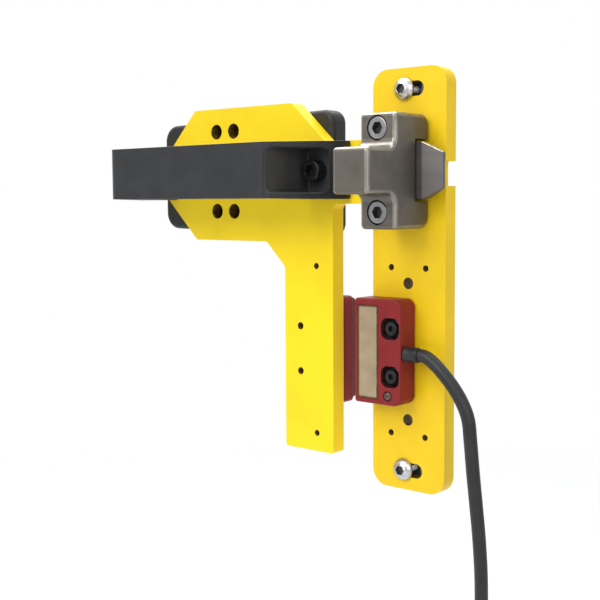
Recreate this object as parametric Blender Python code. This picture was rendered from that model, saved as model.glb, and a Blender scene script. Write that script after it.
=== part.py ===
"""Sliding safety gate bolt with a tapered tongue, cast keeper, guide and coded sensor.

Metres, +Z up, the viewer looks along +Y. The origin lies on the back of the frame plate,
on its centreline and level with the bolt. The gate is at -X and the fixed frame at +X.
"""

import math

import bmesh
import bpy
from mathutils import Matrix, Vector

MM = 0.001

# Clearances
GAP = 0.3 * MM
SLIDE_CLEAR = 0.3 * MM
SLOT_CLEAR = 0.8 * MM

# Frame plate
PLATE_WIDTH = 40 * MM
PLATE_HEIGHT = 194 * MM
PLATE_THICK = 8 * MM
PLATE_CORNER = 8 * MM
PLATE_EDGE = 0.6 * MM
PLATE_SLOT_LENGTH = 16 * MM
PLATE_SLOT_WIDTH = 6.8 * MM
PLATE_SLOT_INSET = 9.5 * MM
PLATE_HEAD_CLEAR = 6.85 * MM
PLATE_SCREW_X = -2.2 * MM
NOTCH_HEIGHT = 11 * MM
NOTCH_DEPTH = 4 * MM
NOTCH_DROP = 1.3 * MM

# Spare fixing holes above and below the sensor
SPARE_BELOW_SENSOR = 0.7 * MM
SPARE_LARGE = 5.6 * MM
SPARE_LARGE_CLEAR = 7.45 * MM
SPARE_SMALL = 3.3 * MM
SPARE_SMALL_PITCH_X = 19 * MM
SPARE_SMALL_INSET = 2.75 * MM

# Keeper block
KEEPER_X = 1.5 * MM
KEEPER_SIDE = 9.25 * MM
KEEPER_WIDTH = 19.3 * MM
KEEPER_SAG = 0.4 * MM
KEEPER_HEIGHT = 50.6 * MM
KEEPER_DEPTH = 26 * MM
NOSE_REACH = 20 * MM
NOSE_FILLET = 4.5 * MM
KEEPER_ROUND = 2 * MM
KEEPER_BACK_ROUND = 5 * MM
KEEPER_EDGE = 1.8 * MM
KEEPER_SCREW_INSET = 7.05 * MM
EAR_LENGTH = 11.5 * MM
NOSE_STEP = 3.8 * MM
COUNTERBORE = 10.8 * MM
COUNTERBORE_DEPTH = 6.5 * MM

# Sprung plunger in the keeper's nose
PLUNGER_BORE = 8 * MM
PLUNGER_BORE_DEPTH = 24 * MM
PLUNGER_TIP = 5 * MM
PLUNGER_SHOULDER = 5 * MM
PLUNGER_TAIL = 3.6 * MM
PLUNGER_TAIL_LENGTH = 9 * MM
BUSH_DIAMETER = 10.4 * MM
BUSH_LENGTH = 4 * MM
SPRING_WIRE = 0.9 * MM
SPRING_TURNS = 6

# Bolt plate, an octagon with a leg for the actuator and a tab at each side
BOLT_THICK = 8 * MM
OCTAGON_HEIGHT = 66.6 * MM
OCTAGON_RISE = 0.35 * MM
OCTAGON_CORNER = 3 * MM
TAB_RIM = 2 * MM
TAB_REACH = 25.2 * MM
TAB_MARGIN = 4.7 * MM
LEG_RIGHT = 35 * MM
LEG_WIDTH = 30 * MM
LEG_FOOT = 49.3 * MM
LEG_CORNER = 1.5 * MM
LEG_HAUNCH = 12 * MM
TAB_FILLET = 3 * MM
CHAMFER_RUN = 18.5 * MM
CHAMFER_SHIFT = 4.5 * MM
BOLT_HOLE = 7.6 * MM
BOLT_HOLE_INSET = 39.9 * MM
BOLT_HOLE_PITCH_X = 12 * MM
BOLT_HOLE_PITCH_Z = 40.2 * MM
BOLT_HOLE_RISE = 2 * MM
LEG_HOLE_PITCH = 80.8 * MM
LEG_HOLE_X = 45.1 * MM

# Tongue, half lapped behind the right tab
TONGUE_SIDE_CLEAR = 1.3 * MM
TONGUE_THICK = 7.5 * MM
TONGUE_REACH = 12.2 * MM
TONGUE_TAPER = 9.2 * MM
TONGUE_TIP_INSET = 4.7 * MM
TONGUE_TIP_THICK = 2.2 * MM
LAP_LENGTH = 22 * MM
LAP_THICK = 4 * MM
LAP_SCREW_PITCH = 12 * MM

# Bridge handle
HANDLE_LAP_MARGIN = 6.25 * MM
HANDLE_PITCH = 117 * MM
HANDLE_OVERHANG = 12 * MM
HANDLE_SLOPE = 18.5 * MM
HANDLE_RISE = 40 * MM
HANDLE_WIDTH = 26 * MM
HANDLE_DRAFT = 0.6 * MM
HANDLE_LIFT = 0.7 * MM
HANDLE_GRIP = 14 * MM
HANDLE_WALL = 6.5 * MM
HANDLE_LIP = 3.5 * MM
HANDLE_BEND = 7 * MM
HANDLE_EDGE = 2 * MM
POCKET_HEIGHT = 20.4 * MM
POCKET_FLOOR = 8.5 * MM
POCKET_INWARD = 6.3 * MM
POCKET_OUTWARD = 8.2 * MM
POCKET_CORNER = 2 * MM

# Guide body on the gate and the carriage that runs in it
GUIDE_LEFT = 159 * MM
GUIDE_RIGHT = 41.3 * MM
GUIDE_HEIGHT_LEFT = 55 * MM
GUIDE_HEIGHT_RIGHT = 61 * MM
GUIDE_DEPTH = 11.2 * MM
GUIDE_CORNER_LEFT = 8.5 * MM
GUIDE_CORNER_RIGHT = 6.5 * MM
GUIDE_EDGE = 2.2 * MM
GUIDE_LIP = 4.3 * MM
GUIDE_SCREW_INSET = 16.7 * MM
GUIDE_SCREW_PITCH = 28 * MM
CHANNEL_HEIGHT = 27 * MM
CHANNEL_MOUTH = 15 * MM
CHANNEL_RIGHT = 66.5 * MM
BACK_PLATE_THICK = 1.8 * MM
BACK_PLATE_LAP = 4.5 * MM
BACK_PLATE_END_LAP = 3 * MM
CARRIAGE_LENGTH = 46 * MM
CARRIAGE_SCREW_PITCH = 26 * MM
BOLT_TRAVEL = 36 * MM

# Sensor on the frame plate and actuator on the leg
SENSOR_LOWER = 0.15 * MM
SENSOR_X = -8.15 * MM
SENSOR_WIDTH = 24.9 * MM
SENSOR_HEIGHT = 48.6 * MM
SENSOR_THICK = 12.2 * MM
SENSOR_CORNER = 4 * MM
SENSOR_EDGE = 0.8 * MM
SENSOR_SCREW_PITCH = 22 * MM
SENSOR_SCREW_INSET = 5.7 * MM
SENSOR_RECESS = 9.8 * MM
SENSOR_RECESS_DEPTH = 4 * MM
SENSOR_RECESS_CORNER = 2.8 * MM
LABEL_WIDTH = 10.4 * MM
LABEL_HEIGHT = 42 * MM
LABEL_DROP = 0.5 * MM
LABEL_INSET = 1.6 * MM
LABEL_THICK = 0.25 * MM
LENS_DIAMETER = 4 * MM
LENS_DROP = 20 * MM
LENS_INSET = 7 * MM
LENS_DEPTH = 2.6 * MM
ACTUATOR_BELOW_SENSOR = 2.4 * MM
ACTUATOR_WIDTH = 26 * MM
ACTUATOR_HEIGHT = 50.4 * MM
ACTUATOR_FRONT_THICK = 7.5 * MM
ACTUATOR_BASE_THICK = 3.4 * MM
ACTUATOR_BASE_INSET = 1.2 * MM
ACTUATOR_SCREW_INSET = 20.2 * MM

# Cable, strain relief and plug
CABLE_DIAMETER = 6 * MM
CABLE_SETBACK = 4.2 * MM
CABLE_DROP = 0.4 * MM
RELIEF_LENGTH = 7.8 * MM
RELIEF_DIAMETER = 7.4 * MM
RELIEF_TIP = 6.9 * MM
RELIEF_SPIGOT = 5 * MM
RELIEF_SPIGOT_LENGTH = 3 * MM
PLUG_GRIP_DIAMETER = 11 * MM
PLUG_GRIP_LENGTH = 24 * MM
PLUG_NUT_DIAMETER = 14.5 * MM
PLUG_NUT_LENGTH = 13 * MM
PLUG_NOSE_DIAMETER = 8.2 * MM
PLUG_NOSE_LENGTH = 9 * MM
PLUG_PIN_DIAMETER = 1 * MM
PLUG_PIN_LENGTH = 5 * MM

# Screw sizes: thread diameter, drilled core, head diameter, head height, socket across flats
M6_CAP = {"thread": 6 * MM, "core": 5 * MM, "head": 10 * MM, "height": 6 * MM, "socket": 5 * MM}
M6_BUTTON = {"thread": 6 * MM, "core": 5 * MM, "head": 10.5 * MM, "height": 3.3 * MM, "socket": 4 * MM}
M6_FLAT = {"thread": 6 * MM, "core": 5 * MM, "head": 11.4 * MM, "height": 3.1 * MM, "socket": 4 * MM}
M4_WIDE = {"thread": 4 * MM, "core": 3 * MM, "head": 8.2 * MM, "height": 3 * MM, "socket": 2.5 * MM}
M4_LOW = {"thread": 4 * MM, "core": 3 * MM, "head": 7 * MM, "height": 2.4 * MM, "socket": 2.5 * MM}
M4_FLAT = {"thread": 4 * MM, "core": 3 * MM, "head": 7.4 * MM, "height": 2.1 * MM, "socket": 2.5 * MM}
M3_FLAT = {"thread": 3 * MM, "core": 2.2 * MM, "head": 4.6 * MM, "height": 1.2 * MM, "socket": 2 * MM}

# T-nut for an 8 mm profile groove
NUT_NECK_WIDTH = 7.6 * MM
NUT_NECK_HEIGHT = 4.2 * MM
NUT_BODY_WIDTH = 15.5 * MM
NUT_BODY_HEIGHT = 5.5 * MM
NUT_LENGTH = 20 * MM

# Facet counts
ROUND_SIDES = 24
SMALL_SIDES = 16
ARC_STEPS = 4

# Heights that follow from the keeper: its slot, the tongue in it and the tab that holds the tongue
KEEPER_SCREW_PITCH = KEEPER_HEIGHT - 2 * KEEPER_SCREW_INSET
KEEPER_SLOT_HEIGHT = KEEPER_HEIGHT - 2 * EAR_LENGTH
NOSE_HEIGHT = KEEPER_SLOT_HEIGHT - 2 * NOSE_STEP
TONGUE_HEIGHT = KEEPER_SLOT_HEIGHT - 2 * TONGUE_SIDE_CLEAR
TONGUE_TIP_HEIGHT = TONGUE_HEIGHT - 2 * TONGUE_TIP_INSET
TAB_HEIGHT = TONGUE_HEIGHT + 2 * TAB_RIM

# Heights on the frame plate: its own, and the sensor midway between the keeper and the lower slot
KEEPER_TOP = KEEPER_HEIGHT / 2 - KEEPER_SAG
KEEPER_LOW = -KEEPER_HEIGHT / 2 - KEEPER_SAG
PLATE_SLOT_REACH = PLATE_HEIGHT / 2 - PLATE_SLOT_INSET
PLATE_DROP = PLATE_SLOT_REACH - KEEPER_TOP - PLATE_HEAD_CLEAR - M6_BUTTON["head"] / 2
PLATE_CENTRE_Z = -PLATE_DROP
SENSOR_ROOM = KEEPER_LOW - PLATE_CENTRE_Z + PLATE_SLOT_REACH
SENSOR_DROP = SENSOR_ROOM / 2 - KEEPER_LOW + SENSOR_LOWER
SPARE_DROP = SENSOR_DROP + SPARE_BELOW_SENSOR
SPARE_LARGE_PITCH = SENSOR_HEIGHT + 2 * SPARE_LARGE_CLEAR
SPARE_SMALL_PITCH_Z = (SENSOR_ROOM + SENSOR_HEIGHT) / 2 - SPARE_SMALL_INSET
ACTUATOR_DROP = SENSOR_DROP + ACTUATOR_BELOW_SENSOR
LEG_DROP = ACTUATOR_DROP + LEG_FOOT

# Faces that other pieces seat on, from the profile's face outwards
PLATE_FACE = -PLATE_THICK
BOLT_BACK = -GUIDE_DEPTH - SLIDE_CLEAR
BOLT_FACE = BOLT_BACK - BOLT_THICK
KEEPER_SEAT = PLATE_FACE - GAP
KEEPER_EAR = KEEPER_SEAT - KEEPER_DEPTH
KEEPER_NOSE = KEEPER_EAR - NOSE_REACH
KEEPER_LEFT = KEEPER_X - KEEPER_SIDE
KEEPER_RIGHT = KEEPER_LEFT + KEEPER_WIDTH
TONGUE_FACE = BOLT_BACK - TONGUE_THICK
SLOT_FACE = TONGUE_FACE - SLOT_CLEAR
TAB_END = KEEPER_LEFT - GAP
HANDLE_RIGHT_SCREW = TAB_END - LAP_LENGTH - HANDLE_LAP_MARGIN
HANDLE_MIDDLE = HANDLE_RIGHT_SCREW - HANDLE_PITCH / 2
TAB_LEFT = HANDLE_MIDDLE - HANDLE_PITCH / 2 - HANDLE_OVERHANG - TAB_MARGIN
OCTAGON_LEFT = TAB_LEFT + TAB_REACH
BOLT_HOLE_MIDDLE = OCTAGON_LEFT + BOLT_HOLE_INSET
SENSOR_SEAT = PLATE_FACE - GAP
SENSOR_FACE = SENSOR_SEAT - SENSOR_THICK
SENSOR_RIGHT = SENSOR_X + SENSOR_WIDTH / 2
SENSOR_LEFT = SENSOR_X - SENSOR_WIDTH / 2
SENSOR_SCREW_X = SENSOR_RIGHT - SENSOR_SCREW_INSET
SENSOR_Z = -SENSOR_DROP
CABLE_Z = SENSOR_Z - CABLE_DROP
SPARE_Z = -SPARE_DROP
ACTUATOR_Z = -ACTUATOR_DROP

COLOURS = {
    "yellow_paint": ((0.93, 0.71, 0.02), 0.42, 0.0),
    "cast_metal": ((0.30, 0.29, 0.27), 0.42, 0.9),
    "tongue_steel": ((0.32, 0.31, 0.30), 0.35, 1.0),
    "bright_steel": ((0.70, 0.70, 0.71), 0.22, 1.0),
    "black_oxide": ((0.02, 0.02, 0.022), 0.35, 0.7),
    "black_nylon": ((0.035, 0.037, 0.04), 0.45, 0.0),
    "guide_black": ((0.025, 0.026, 0.028), 0.5, 0.0),
    "acetal": ((0.75, 0.74, 0.70), 0.4, 0.0),
    "sensor_red": ((0.33, 0.035, 0.03), 0.45, 0.0),
    "label_foil": ((0.52, 0.42, 0.30), 0.4, 0.2),
    "lens": ((0.30, 0.22, 0.16), 0.2, 0.0),
    "cable_black": ((0.03, 0.03, 0.033), 0.5, 0.0),
    "zinc": ((0.60, 0.61, 0.62), 0.35, 1.0),
}


def clear_scene():
    for thing in list(bpy.data.objects):
        bpy.data.objects.remove(thing, do_unlink=True)


def material(name):
    found = bpy.data.materials.get(name)
    if found:
        return found
    colour, roughness, metallic = COLOURS[name]
    made = bpy.data.materials.new(name)
    made.use_nodes = True
    shader = made.node_tree.nodes["Principled BSDF"]
    shader.inputs["Base Color"].default_value = (*colour, 1)
    shader.inputs["Roughness"].default_value = roughness
    shader.inputs["Metallic"].default_value = metallic
    made.diffuse_color = (*colour, 1)
    return made


def place(name, mesh, finish, location=(0, 0, 0), rotation=(0, 0, 0), parent=None):
    """A named object with its own finish, standing where the drawing puts it."""
    thing = bpy.data.objects.new(name, mesh)
    thing.location = location
    thing.rotation_euler = rotation
    thing.parent = parent
    bpy.context.scene.collection.objects.link(thing)
    if finish:
        mesh.materials.append(material(finish))
        mesh.shade_smooth()
        mesh.set_sharp_from_angle(angle=math.radians(35))
    return thing


def mesh_from(shape, name):
    bmesh.ops.recalc_face_normals(shape, faces=shape.faces)
    mesh = bpy.data.meshes.new(name)
    shape.to_mesh(mesh)
    shape.free()
    return mesh


def rounded(corners, steps=ARC_STEPS):
    """Outline points through (x, z, radius) corners, each rounded by an arc of its radius."""
    points = []
    count = len(corners)
    for index, (x, z, radius) in enumerate(corners):
        here = Vector((x, z))
        if radius <= 0:
            points.append(here)
            continue
        before = Vector(corners[index - 1][:2]) - here
        after = Vector(corners[(index + 1) % count][:2]) - here
        reach_limit = 0.49 * min(before.length, after.length)
        before.normalize()
        after.normalize()
        half = before.angle(after) / 2
        reach = min(radius / math.tan(half), reach_limit)
        bend = reach * math.tan(half)
        middle = here + (before + after).normalized() * (bend / math.sin(half))
        start = here + before * reach - middle
        end = here + after * reach - middle
        sweep = start.angle_signed(end)
        for step in range(steps + 1):
            turned = start.copy()
            turned.rotate(Matrix.Rotation(-sweep * step / steps, 2))
            points.append(middle + turned)
    return points


def prism(outline, near, far, axis="Y"):
    """A solid from an outline, extruded along one axis between two places."""
    shape = bmesh.new()
    spots = {
        "X": lambda p: (near, p[0], p[1]),
        "Y": lambda p: (p[0], near, p[1]),
        "Z": lambda p: (p[0], p[1], near),
    }[axis]
    ring = [shape.verts.new(spots(point)) for point in outline]
    face = shape.faces.new(ring)
    grown = bmesh.ops.extrude_face_region(shape, geom=[face])
    moved = [item for item in grown["geom"] if isinstance(item, bmesh.types.BMVert)]
    push = Vector([far - near if letter == axis else 0 for letter in "XYZ"])
    bmesh.ops.translate(shape, verts=moved, vec=push)
    return shape


def box_outline(left, right, low, high, radius=0.0):
    return rounded([(left, low, radius), (right, low, radius), (right, high, radius), (left, high, radius)])


def round_outline(x, z, diameter, sides=ROUND_SIDES):
    turn = 2 * math.pi / sides
    spots = range(sides)
    return [(x + diameter / 2 * math.cos(turn * i), z + diameter / 2 * math.sin(turn * i)) for i in spots]


def slot_outline(x, z, length, width):
    return rounded(
        [
            (x - length / 2, z - width / 2, width / 2),
            (x + length / 2, z - width / 2, width / 2),
            (x + length / 2, z + width / 2, width / 2),
            (x - length / 2, z + width / 2, width / 2),
        ],
        2 * ARC_STEPS,
    )


def turned(profile, sides=ROUND_SIDES):
    """A turned solid about local Z from (radius, height) points; end points lie on the axis."""
    shape = bmesh.new()
    rings = []
    for radius, height in profile:
        if radius == 0:
            rings.append([shape.verts.new((0, 0, height))])
            continue
        turn = 2 * math.pi / sides
        spots = [(radius * math.cos(turn * i), radius * math.sin(turn * i), height) for i in range(sides)]
        rings.append([shape.verts.new(spot) for spot in spots])
    for low, high in zip(rings, rings[1:]):
        for i in range(sides):
            j = (i + 1) % sides
            if len(low) == 1:
                shape.faces.new((low[0], high[i], high[j]))
            elif len(high) == 1:
                shape.faces.new((low[i], low[j], high[0]))
            else:
                shape.faces.new((low[i], low[j], high[j], high[i]))
    return shape


def tube(profile, sides=ROUND_SIDES):
    """A turned ring about local Z from a closed loop of (radius, height) points."""
    shape = bmesh.new()
    turn = 2 * math.pi / sides
    rings = []
    for i in range(sides):
        c, s = math.cos(turn * i), math.sin(turn * i)
        rings.append([shape.verts.new((radius * c, radius * s, height)) for radius, height in profile])
    count = len(profile)
    for i in range(sides):
        here, there = rings[i], rings[(i + 1) % sides]
        for k in range(count):
            n = (k + 1) % count
            shape.faces.new((here[k], here[n], there[n], there[k]))
    return shape


def soften(thing, width, segments=2, angle=40):
    """Rounded edges, as casting, moulding or a thick coat of paint leaves them."""
    rim = thing.modifiers.new("edges", "BEVEL")
    rim.width = width
    rim.segments = segments
    rim.limit_method = "ANGLE"
    rim.angle_limit = math.radians(angle)
    rim.use_clamp_overlap = True


def cut(thing, name, shape, location=(0, 0, 0), rotation=(0, 0, 0)):
    """Take a shape out of a piece. The cutter moves with the piece."""
    cutter = place("cut_" + name, mesh_from(shape, "cut_" + name), None, location, rotation)
    cutter.parent = thing.parent
    cutter.hide_render = True
    cutter.display_type = "WIRE"
    taken = thing.modifiers.new(name, "BOOLEAN")
    taken.operation = "DIFFERENCE"
    taken.solver = "EXACT"
    taken.object = cutter


def drill(thing, name, x, z, diameter, near, far, sides=ROUND_SIDES):
    cut(thing, name, prism(round_outline(x, z, diameter, sides), near, far))


TO_VIEWER = (math.radians(90), 0, 0)
TO_BACK = (math.radians(-90), 0, 0)
TO_RIGHT = (0, math.radians(90), 0)
DOWNWARD = (math.radians(180), 0, 0)


def screw_profile(size, plain, threaded, flat, button):
    """Half outline of a screw: seat at 0, head above, plain shank then threaded core below."""
    shank = size["thread"] / 2 - 0.05 * MM
    core = size["core"] / 2
    head = size["head"] / 2
    tall = size["height"]
    tip = 0.5 * MM
    end = [(0, -plain - threaded), (core - tip, -plain - threaded), (core, -plain - threaded + tip)]
    if plain > tall or not flat:
        end += [(core, -plain), (shank, -plain)]
    else:
        end += [(core, -tall)]
    if flat:
        return end + [(shank if plain > tall else core, -tall), (head, -0.3 * MM), (head, 0), (0, 0)]
    if button:
        crown = [(head * math.cos(a), tall * math.sin(a)) for a in (0.25, 0.6, 0.95)]
        return end + [(shank, 0), (head, 0)] + crown + [(head * 0.5, tall), (0, tall)]
    rim = 0.4 * MM
    start = [(shank, 0), (head - rim / 2, 0), (head, rim / 2)]
    return end + start + [(head, tall - rim), (head - rim, tall), (0, tall)]


def screw(name, size, plain, threaded, location, finish, flat=False, button=False, turn=TO_VIEWER):
    """A socket screw whose head stands towards local +Z."""
    profile = screw_profile(size, plain, threaded, flat, button)
    thing = place(name, mesh_from(turned(profile, SMALL_SIDES), name), finish)
    thing.location = location
    thing.rotation_euler = turn
    top = 0 if flat else size["height"]
    depth = size["height"] * (0.75 if flat else 0.55)
    across = size["socket"] / math.cos(math.radians(30))
    key = prism(round_outline(0, 0, across, 6), top - depth, top + MM, "Z")
    cut(thing, name + "_socket", key, location, turn)
    return thing


def flat_seat(thing, name, size, x, z, face, through):
    """A countersink for a flat head, with its clearance hole."""
    head = size["head"] / 2 + GAP
    hole = size["thread"] / 2 + GAP
    lip = MM
    shaft = [(0, -through), (hole, -through), (hole, -size["height"] - GAP)]
    profile = shaft + [(head, -GAP), (head, lip), (0, lip)]
    cut(thing, name, turned(profile, SMALL_SIDES), (x, face, z), TO_VIEWER)


def make_frame_plate():
    half = PLATE_WIDTH / 2
    low = PLATE_CENTRE_Z - PLATE_HEIGHT / 2
    high = PLATE_CENTRE_Z + PLATE_HEIGHT / 2
    outline = box_outline(-half, half, low, high, PLATE_CORNER)
    plate = place("frame_plate", mesh_from(prism(outline, 0, PLATE_FACE), "frame_plate"), "yellow_paint")
    soften(plate, PLATE_EDGE, 1)
    near, far = PLATE_FACE - MM, MM
    for end, z in plate_screw_places():
        slot = slot_outline(0, z, PLATE_SLOT_LENGTH, PLATE_SLOT_WIDTH)
        cut(plate, "plate_slot_" + end, prism(slot, near, far))
    for end, z in keeper_screw_places():
        drill(plate, "keeper_thread_" + end, KEEPER_X, z, M6_CAP["core"] + 2 * GAP, near, far, SMALL_SIDES)
    for end, z in sensor_screw_places():
        hole = M4_WIDE["core"] + 2 * GAP
        drill(plate, "sensor_thread_" + end, SENSOR_SCREW_X, z, hole, near, far, SMALL_SIDES)
    for side in (-1, 1):
        z = SPARE_Z + side * SPARE_LARGE_PITCH / 2
        drill(plate, f"spare_large_{side}", 0, z, SPARE_LARGE, near, far)
        for across in (-1, 1):
            x = across * SPARE_SMALL_PITCH_X / 2
            z = SPARE_Z + side * SPARE_SMALL_PITCH_Z / 2
            drill(plate, f"spare_small_{side}_{across}", x, z, SPARE_SMALL, near, far, 12)
    top = NOTCH_HEIGHT / 2 - NOTCH_DROP
    bite = box_outline(half - NOTCH_DEPTH, half + MM, top - NOTCH_HEIGHT, top)
    cut(plate, "edge_notch", prism(bite, near, far))


def plate_screw_places():
    return [("top", PLATE_CENTRE_Z + PLATE_SLOT_REACH), ("bottom", PLATE_CENTRE_Z - PLATE_SLOT_REACH)]


def keeper_screw_places():
    return [("top", KEEPER_SCREW_PITCH / 2), ("bottom", -KEEPER_SCREW_PITCH / 2)]


def sensor_screw_places():
    return [("top", SENSOR_Z + SENSOR_SCREW_PITCH / 2), ("bottom", SENSOR_Z - SENSOR_SCREW_PITCH / 2)]


def guide_screw_places():
    return [("top", GUIDE_SCREW_PITCH / 2), ("bottom", -GUIDE_SCREW_PITCH / 2)]


def actuator_screw_places():
    return [("top", ACTUATOR_Z + SENSOR_SCREW_PITCH / 2), ("bottom", ACTUATOR_Z - SENSOR_SCREW_PITCH / 2)]


def make_t_nut(name, x, z):
    """Neck in the profile's groove, wider body behind its lips, tapped through."""
    neck, body = NUT_NECK_WIDTH / 2, NUT_BODY_WIDTH / 2
    top = GAP
    step = top + NUT_NECK_HEIGHT
    back = step + NUT_BODY_HEIGHT
    slope = 1.5 * MM
    outline = [
        (-neck, top),
        (neck, top),
        (neck, step),
        (body, step),
        (body, back - slope),
        (body - slope, back),
        (slope - body, back),
        (-body, back - slope),
        (-body, step),
        (-neck, step),
    ]
    shape = prism(outline, -NUT_LENGTH / 2, NUT_LENGTH / 2, "Z")
    nut = place(name, mesh_from(shape, name), "zinc", (x, 0, z))
    bore = M6_CAP["core"] / 2 + GAP
    thread = turned([(0, -MM), (bore, -MM), (bore, back + MM), (0, back + MM)], SMALL_SIDES)
    cut(nut, name + "_thread", thread, (x, 0, z), TO_BACK)


def make_plate_screws():
    for end, z in plate_screw_places():
        plain = PLATE_THICK
        threaded = GAP + NUT_NECK_HEIGHT + NUT_BODY_HEIGHT - MM
        spot = (PLATE_SCREW_X, PLATE_FACE - GAP, z)
        screw("plate_screw_" + end, M6_BUTTON, plain, threaded, spot, "bright_steel", button=True)
        make_t_nut("plate_nut_" + end, PLATE_SCREW_X, z)


def make_keeper():
    """Cast T: two ears on the plate, a nose standing out, and a slot for the tongue behind."""
    ear_top, ear_low = KEEPER_HEIGHT / 2 - KEEPER_SAG, -KEEPER_HEIGHT / 2 - KEEPER_SAG
    nose_top, nose_low = NOSE_HEIGHT / 2 - KEEPER_SAG, -NOSE_HEIGHT / 2 - KEEPER_SAG
    side = [
        (KEEPER_SEAT, ear_low, KEEPER_BACK_ROUND),
        (KEEPER_SEAT, ear_top, KEEPER_BACK_ROUND),
        (KEEPER_EAR, ear_top, KEEPER_ROUND),
        (KEEPER_EAR, nose_top, NOSE_FILLET),
        (KEEPER_NOSE, nose_top, KEEPER_ROUND),
        (KEEPER_NOSE, nose_low, KEEPER_ROUND),
        (KEEPER_EAR, nose_low, NOSE_FILLET),
        (KEEPER_EAR, ear_low, KEEPER_ROUND),
    ]
    shape = prism(rounded(side), KEEPER_LEFT, KEEPER_RIGHT, "X")
    keeper = place("keeper_block", mesh_from(shape, "keeper_block"), "cast_metal")
    soften(keeper, KEEPER_EDGE, 2)
    opening = rounded(
        [
            (KEEPER_SEAT + MM, -KEEPER_SLOT_HEIGHT / 2, 0),
            (KEEPER_SEAT + MM, KEEPER_SLOT_HEIGHT / 2, 0),
            (SLOT_FACE, KEEPER_SLOT_HEIGHT / 2, MM),
            (SLOT_FACE, -KEEPER_SLOT_HEIGHT / 2, MM),
        ]
    )
    cut(keeper, "tongue_slot", prism(opening, KEEPER_LEFT - MM, KEEPER_RIGHT + MM, "X"))
    seat = KEEPER_EAR + COUNTERBORE_DEPTH
    for end, z in keeper_screw_places():
        drill(keeper, "keeper_bore_" + end, KEEPER_X, z, COUNTERBORE, KEEPER_NOSE, seat)
        hole = M6_CAP["thread"] + 2 * GAP
        drill(keeper, "keeper_hole_" + end, KEEPER_X, z, hole, seat - MM, KEEPER_SEAT + MM, SMALL_SIDES)
        spot = (KEEPER_X, seat - GAP, z)
        plain = KEEPER_SEAT - seat + GAP
        screw("keeper_screw_" + end, M6_CAP, plain, PLATE_THICK - MM, spot, "bright_steel")
    stepped = turned(
        [
            (0, -MM),
            (BUSH_DIAMETER / 2 + GAP, -MM),
            (BUSH_DIAMETER / 2 + GAP, BUSH_LENGTH),
            (PLUNGER_BORE / 2, BUSH_LENGTH),
            (PLUNGER_BORE / 2, PLUNGER_BORE_DEPTH),
            (0, PLUNGER_BORE_DEPTH + MM),
        ]
    )
    cut(keeper, "plunger_bore", stepped, (KEEPER_X, SLOT_FACE, 0), TO_VIEWER)


def make_plunger():
    """A sprung pin that bears on the tongue, kept in its bore by a bush."""
    axis = bpy.data.objects.new("plunger_axis", None)
    axis.location = (KEEPER_X, SLOT_FACE, 0)
    axis.rotation_euler = TO_VIEWER
    bpy.context.scene.collection.objects.link(axis)
    tip = PLUNGER_TIP / 2
    wide = PLUNGER_BORE / 2 - GAP
    tail = PLUNGER_TAIL / 2
    nose = GAP - SLOT_CLEAR
    shoulder = BUSH_LENGTH + GAP
    end = shoulder + PLUNGER_SHOULDER
    profile = [
        (0, nose),
        (tip * 0.55, nose),
        (tip, nose + tip * 0.5),
        (tip, shoulder),
        (wide, shoulder),
        (wide, end),
        (tail, end),
        (tail, end + PLUNGER_TAIL_LENGTH),
        (0, end + PLUNGER_TAIL_LENGTH),
    ]
    place("plunger_pin", mesh_from(turned(profile, SMALL_SIDES), "plunger_pin"), "bright_steel", parent=axis)
    bore = tip + GAP
    outer = BUSH_DIAMETER / 2
    ring = [(bore, GAP / 2), (outer, GAP / 2), (outer, BUSH_LENGTH - GAP), (bore, BUSH_LENGTH - GAP)]
    place("plunger_bush", mesh_from(tube(ring, SMALL_SIDES), "plunger_bush"), "zinc", parent=axis)
    make_spring(axis, end + GAP, PLUNGER_BORE_DEPTH - GAP)


def make_spring(axis, low, high):
    wire = SPRING_WIRE / 2
    radius = PLUNGER_BORE / 2 - GAP - wire
    steps = 11 * SPRING_TURNS
    coil = bpy.data.curves.new("plunger_spring", "CURVE")
    coil.dimensions = "3D"
    coil.bevel_depth = wire
    coil.bevel_resolution = 1
    coil.use_fill_caps = True
    line = coil.splines.new("POLY")
    line.points.add(steps)
    for i in range(steps + 1):
        angle = 2 * math.pi * SPRING_TURNS * i / steps
        height = low + wire + (high - low - 2 * wire) * i / steps
        line.points[i].co = (radius * math.cos(angle), radius * math.sin(angle), height, 1)
    coil.materials.append(material("zinc"))
    spring = bpy.data.objects.new("plunger_spring", coil)
    spring.parent = axis
    bpy.context.scene.collection.objects.link(spring)


def bolt_outline():
    """Octagon with a tab each side and the leg that carries the actuator."""
    tab = TAB_HEIGHT / 2
    high = OCTAGON_RISE + OCTAGON_HEIGHT / 2
    low = OCTAGON_RISE - OCTAGON_HEIGHT / 2
    leg_left = -LEG_RIGHT - LEG_WIDTH
    shoulder = -LEG_RIGHT - CHAMFER_SHIFT
    return rounded(
        [
            (TAB_END, tab, 0),
            (shoulder, tab, 1 * MM),
            (shoulder - CHAMFER_RUN - 2 * MM, high, OCTAGON_CORNER),
            (OCTAGON_LEFT + CHAMFER_RUN, high, OCTAGON_CORNER),
            (OCTAGON_LEFT, tab, 1.5 * MM),
            (TAB_LEFT, tab, OCTAGON_CORNER),
            (TAB_LEFT, -tab, OCTAGON_CORNER),
            (OCTAGON_LEFT, -tab, 1.5 * MM),
            (OCTAGON_LEFT + CHAMFER_RUN, low, OCTAGON_CORNER),
            (leg_left - LEG_HAUNCH, low, 2 * MM),
            (leg_left, low - LEG_HAUNCH, 2 * MM),
            (leg_left, -LEG_DROP, LEG_CORNER),
            (-LEG_RIGHT, -LEG_DROP, LEG_CORNER),
            (-LEG_RIGHT, -tab, TAB_FILLET),
            (TAB_END, -tab, 0),
        ],
        4,
    )


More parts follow.
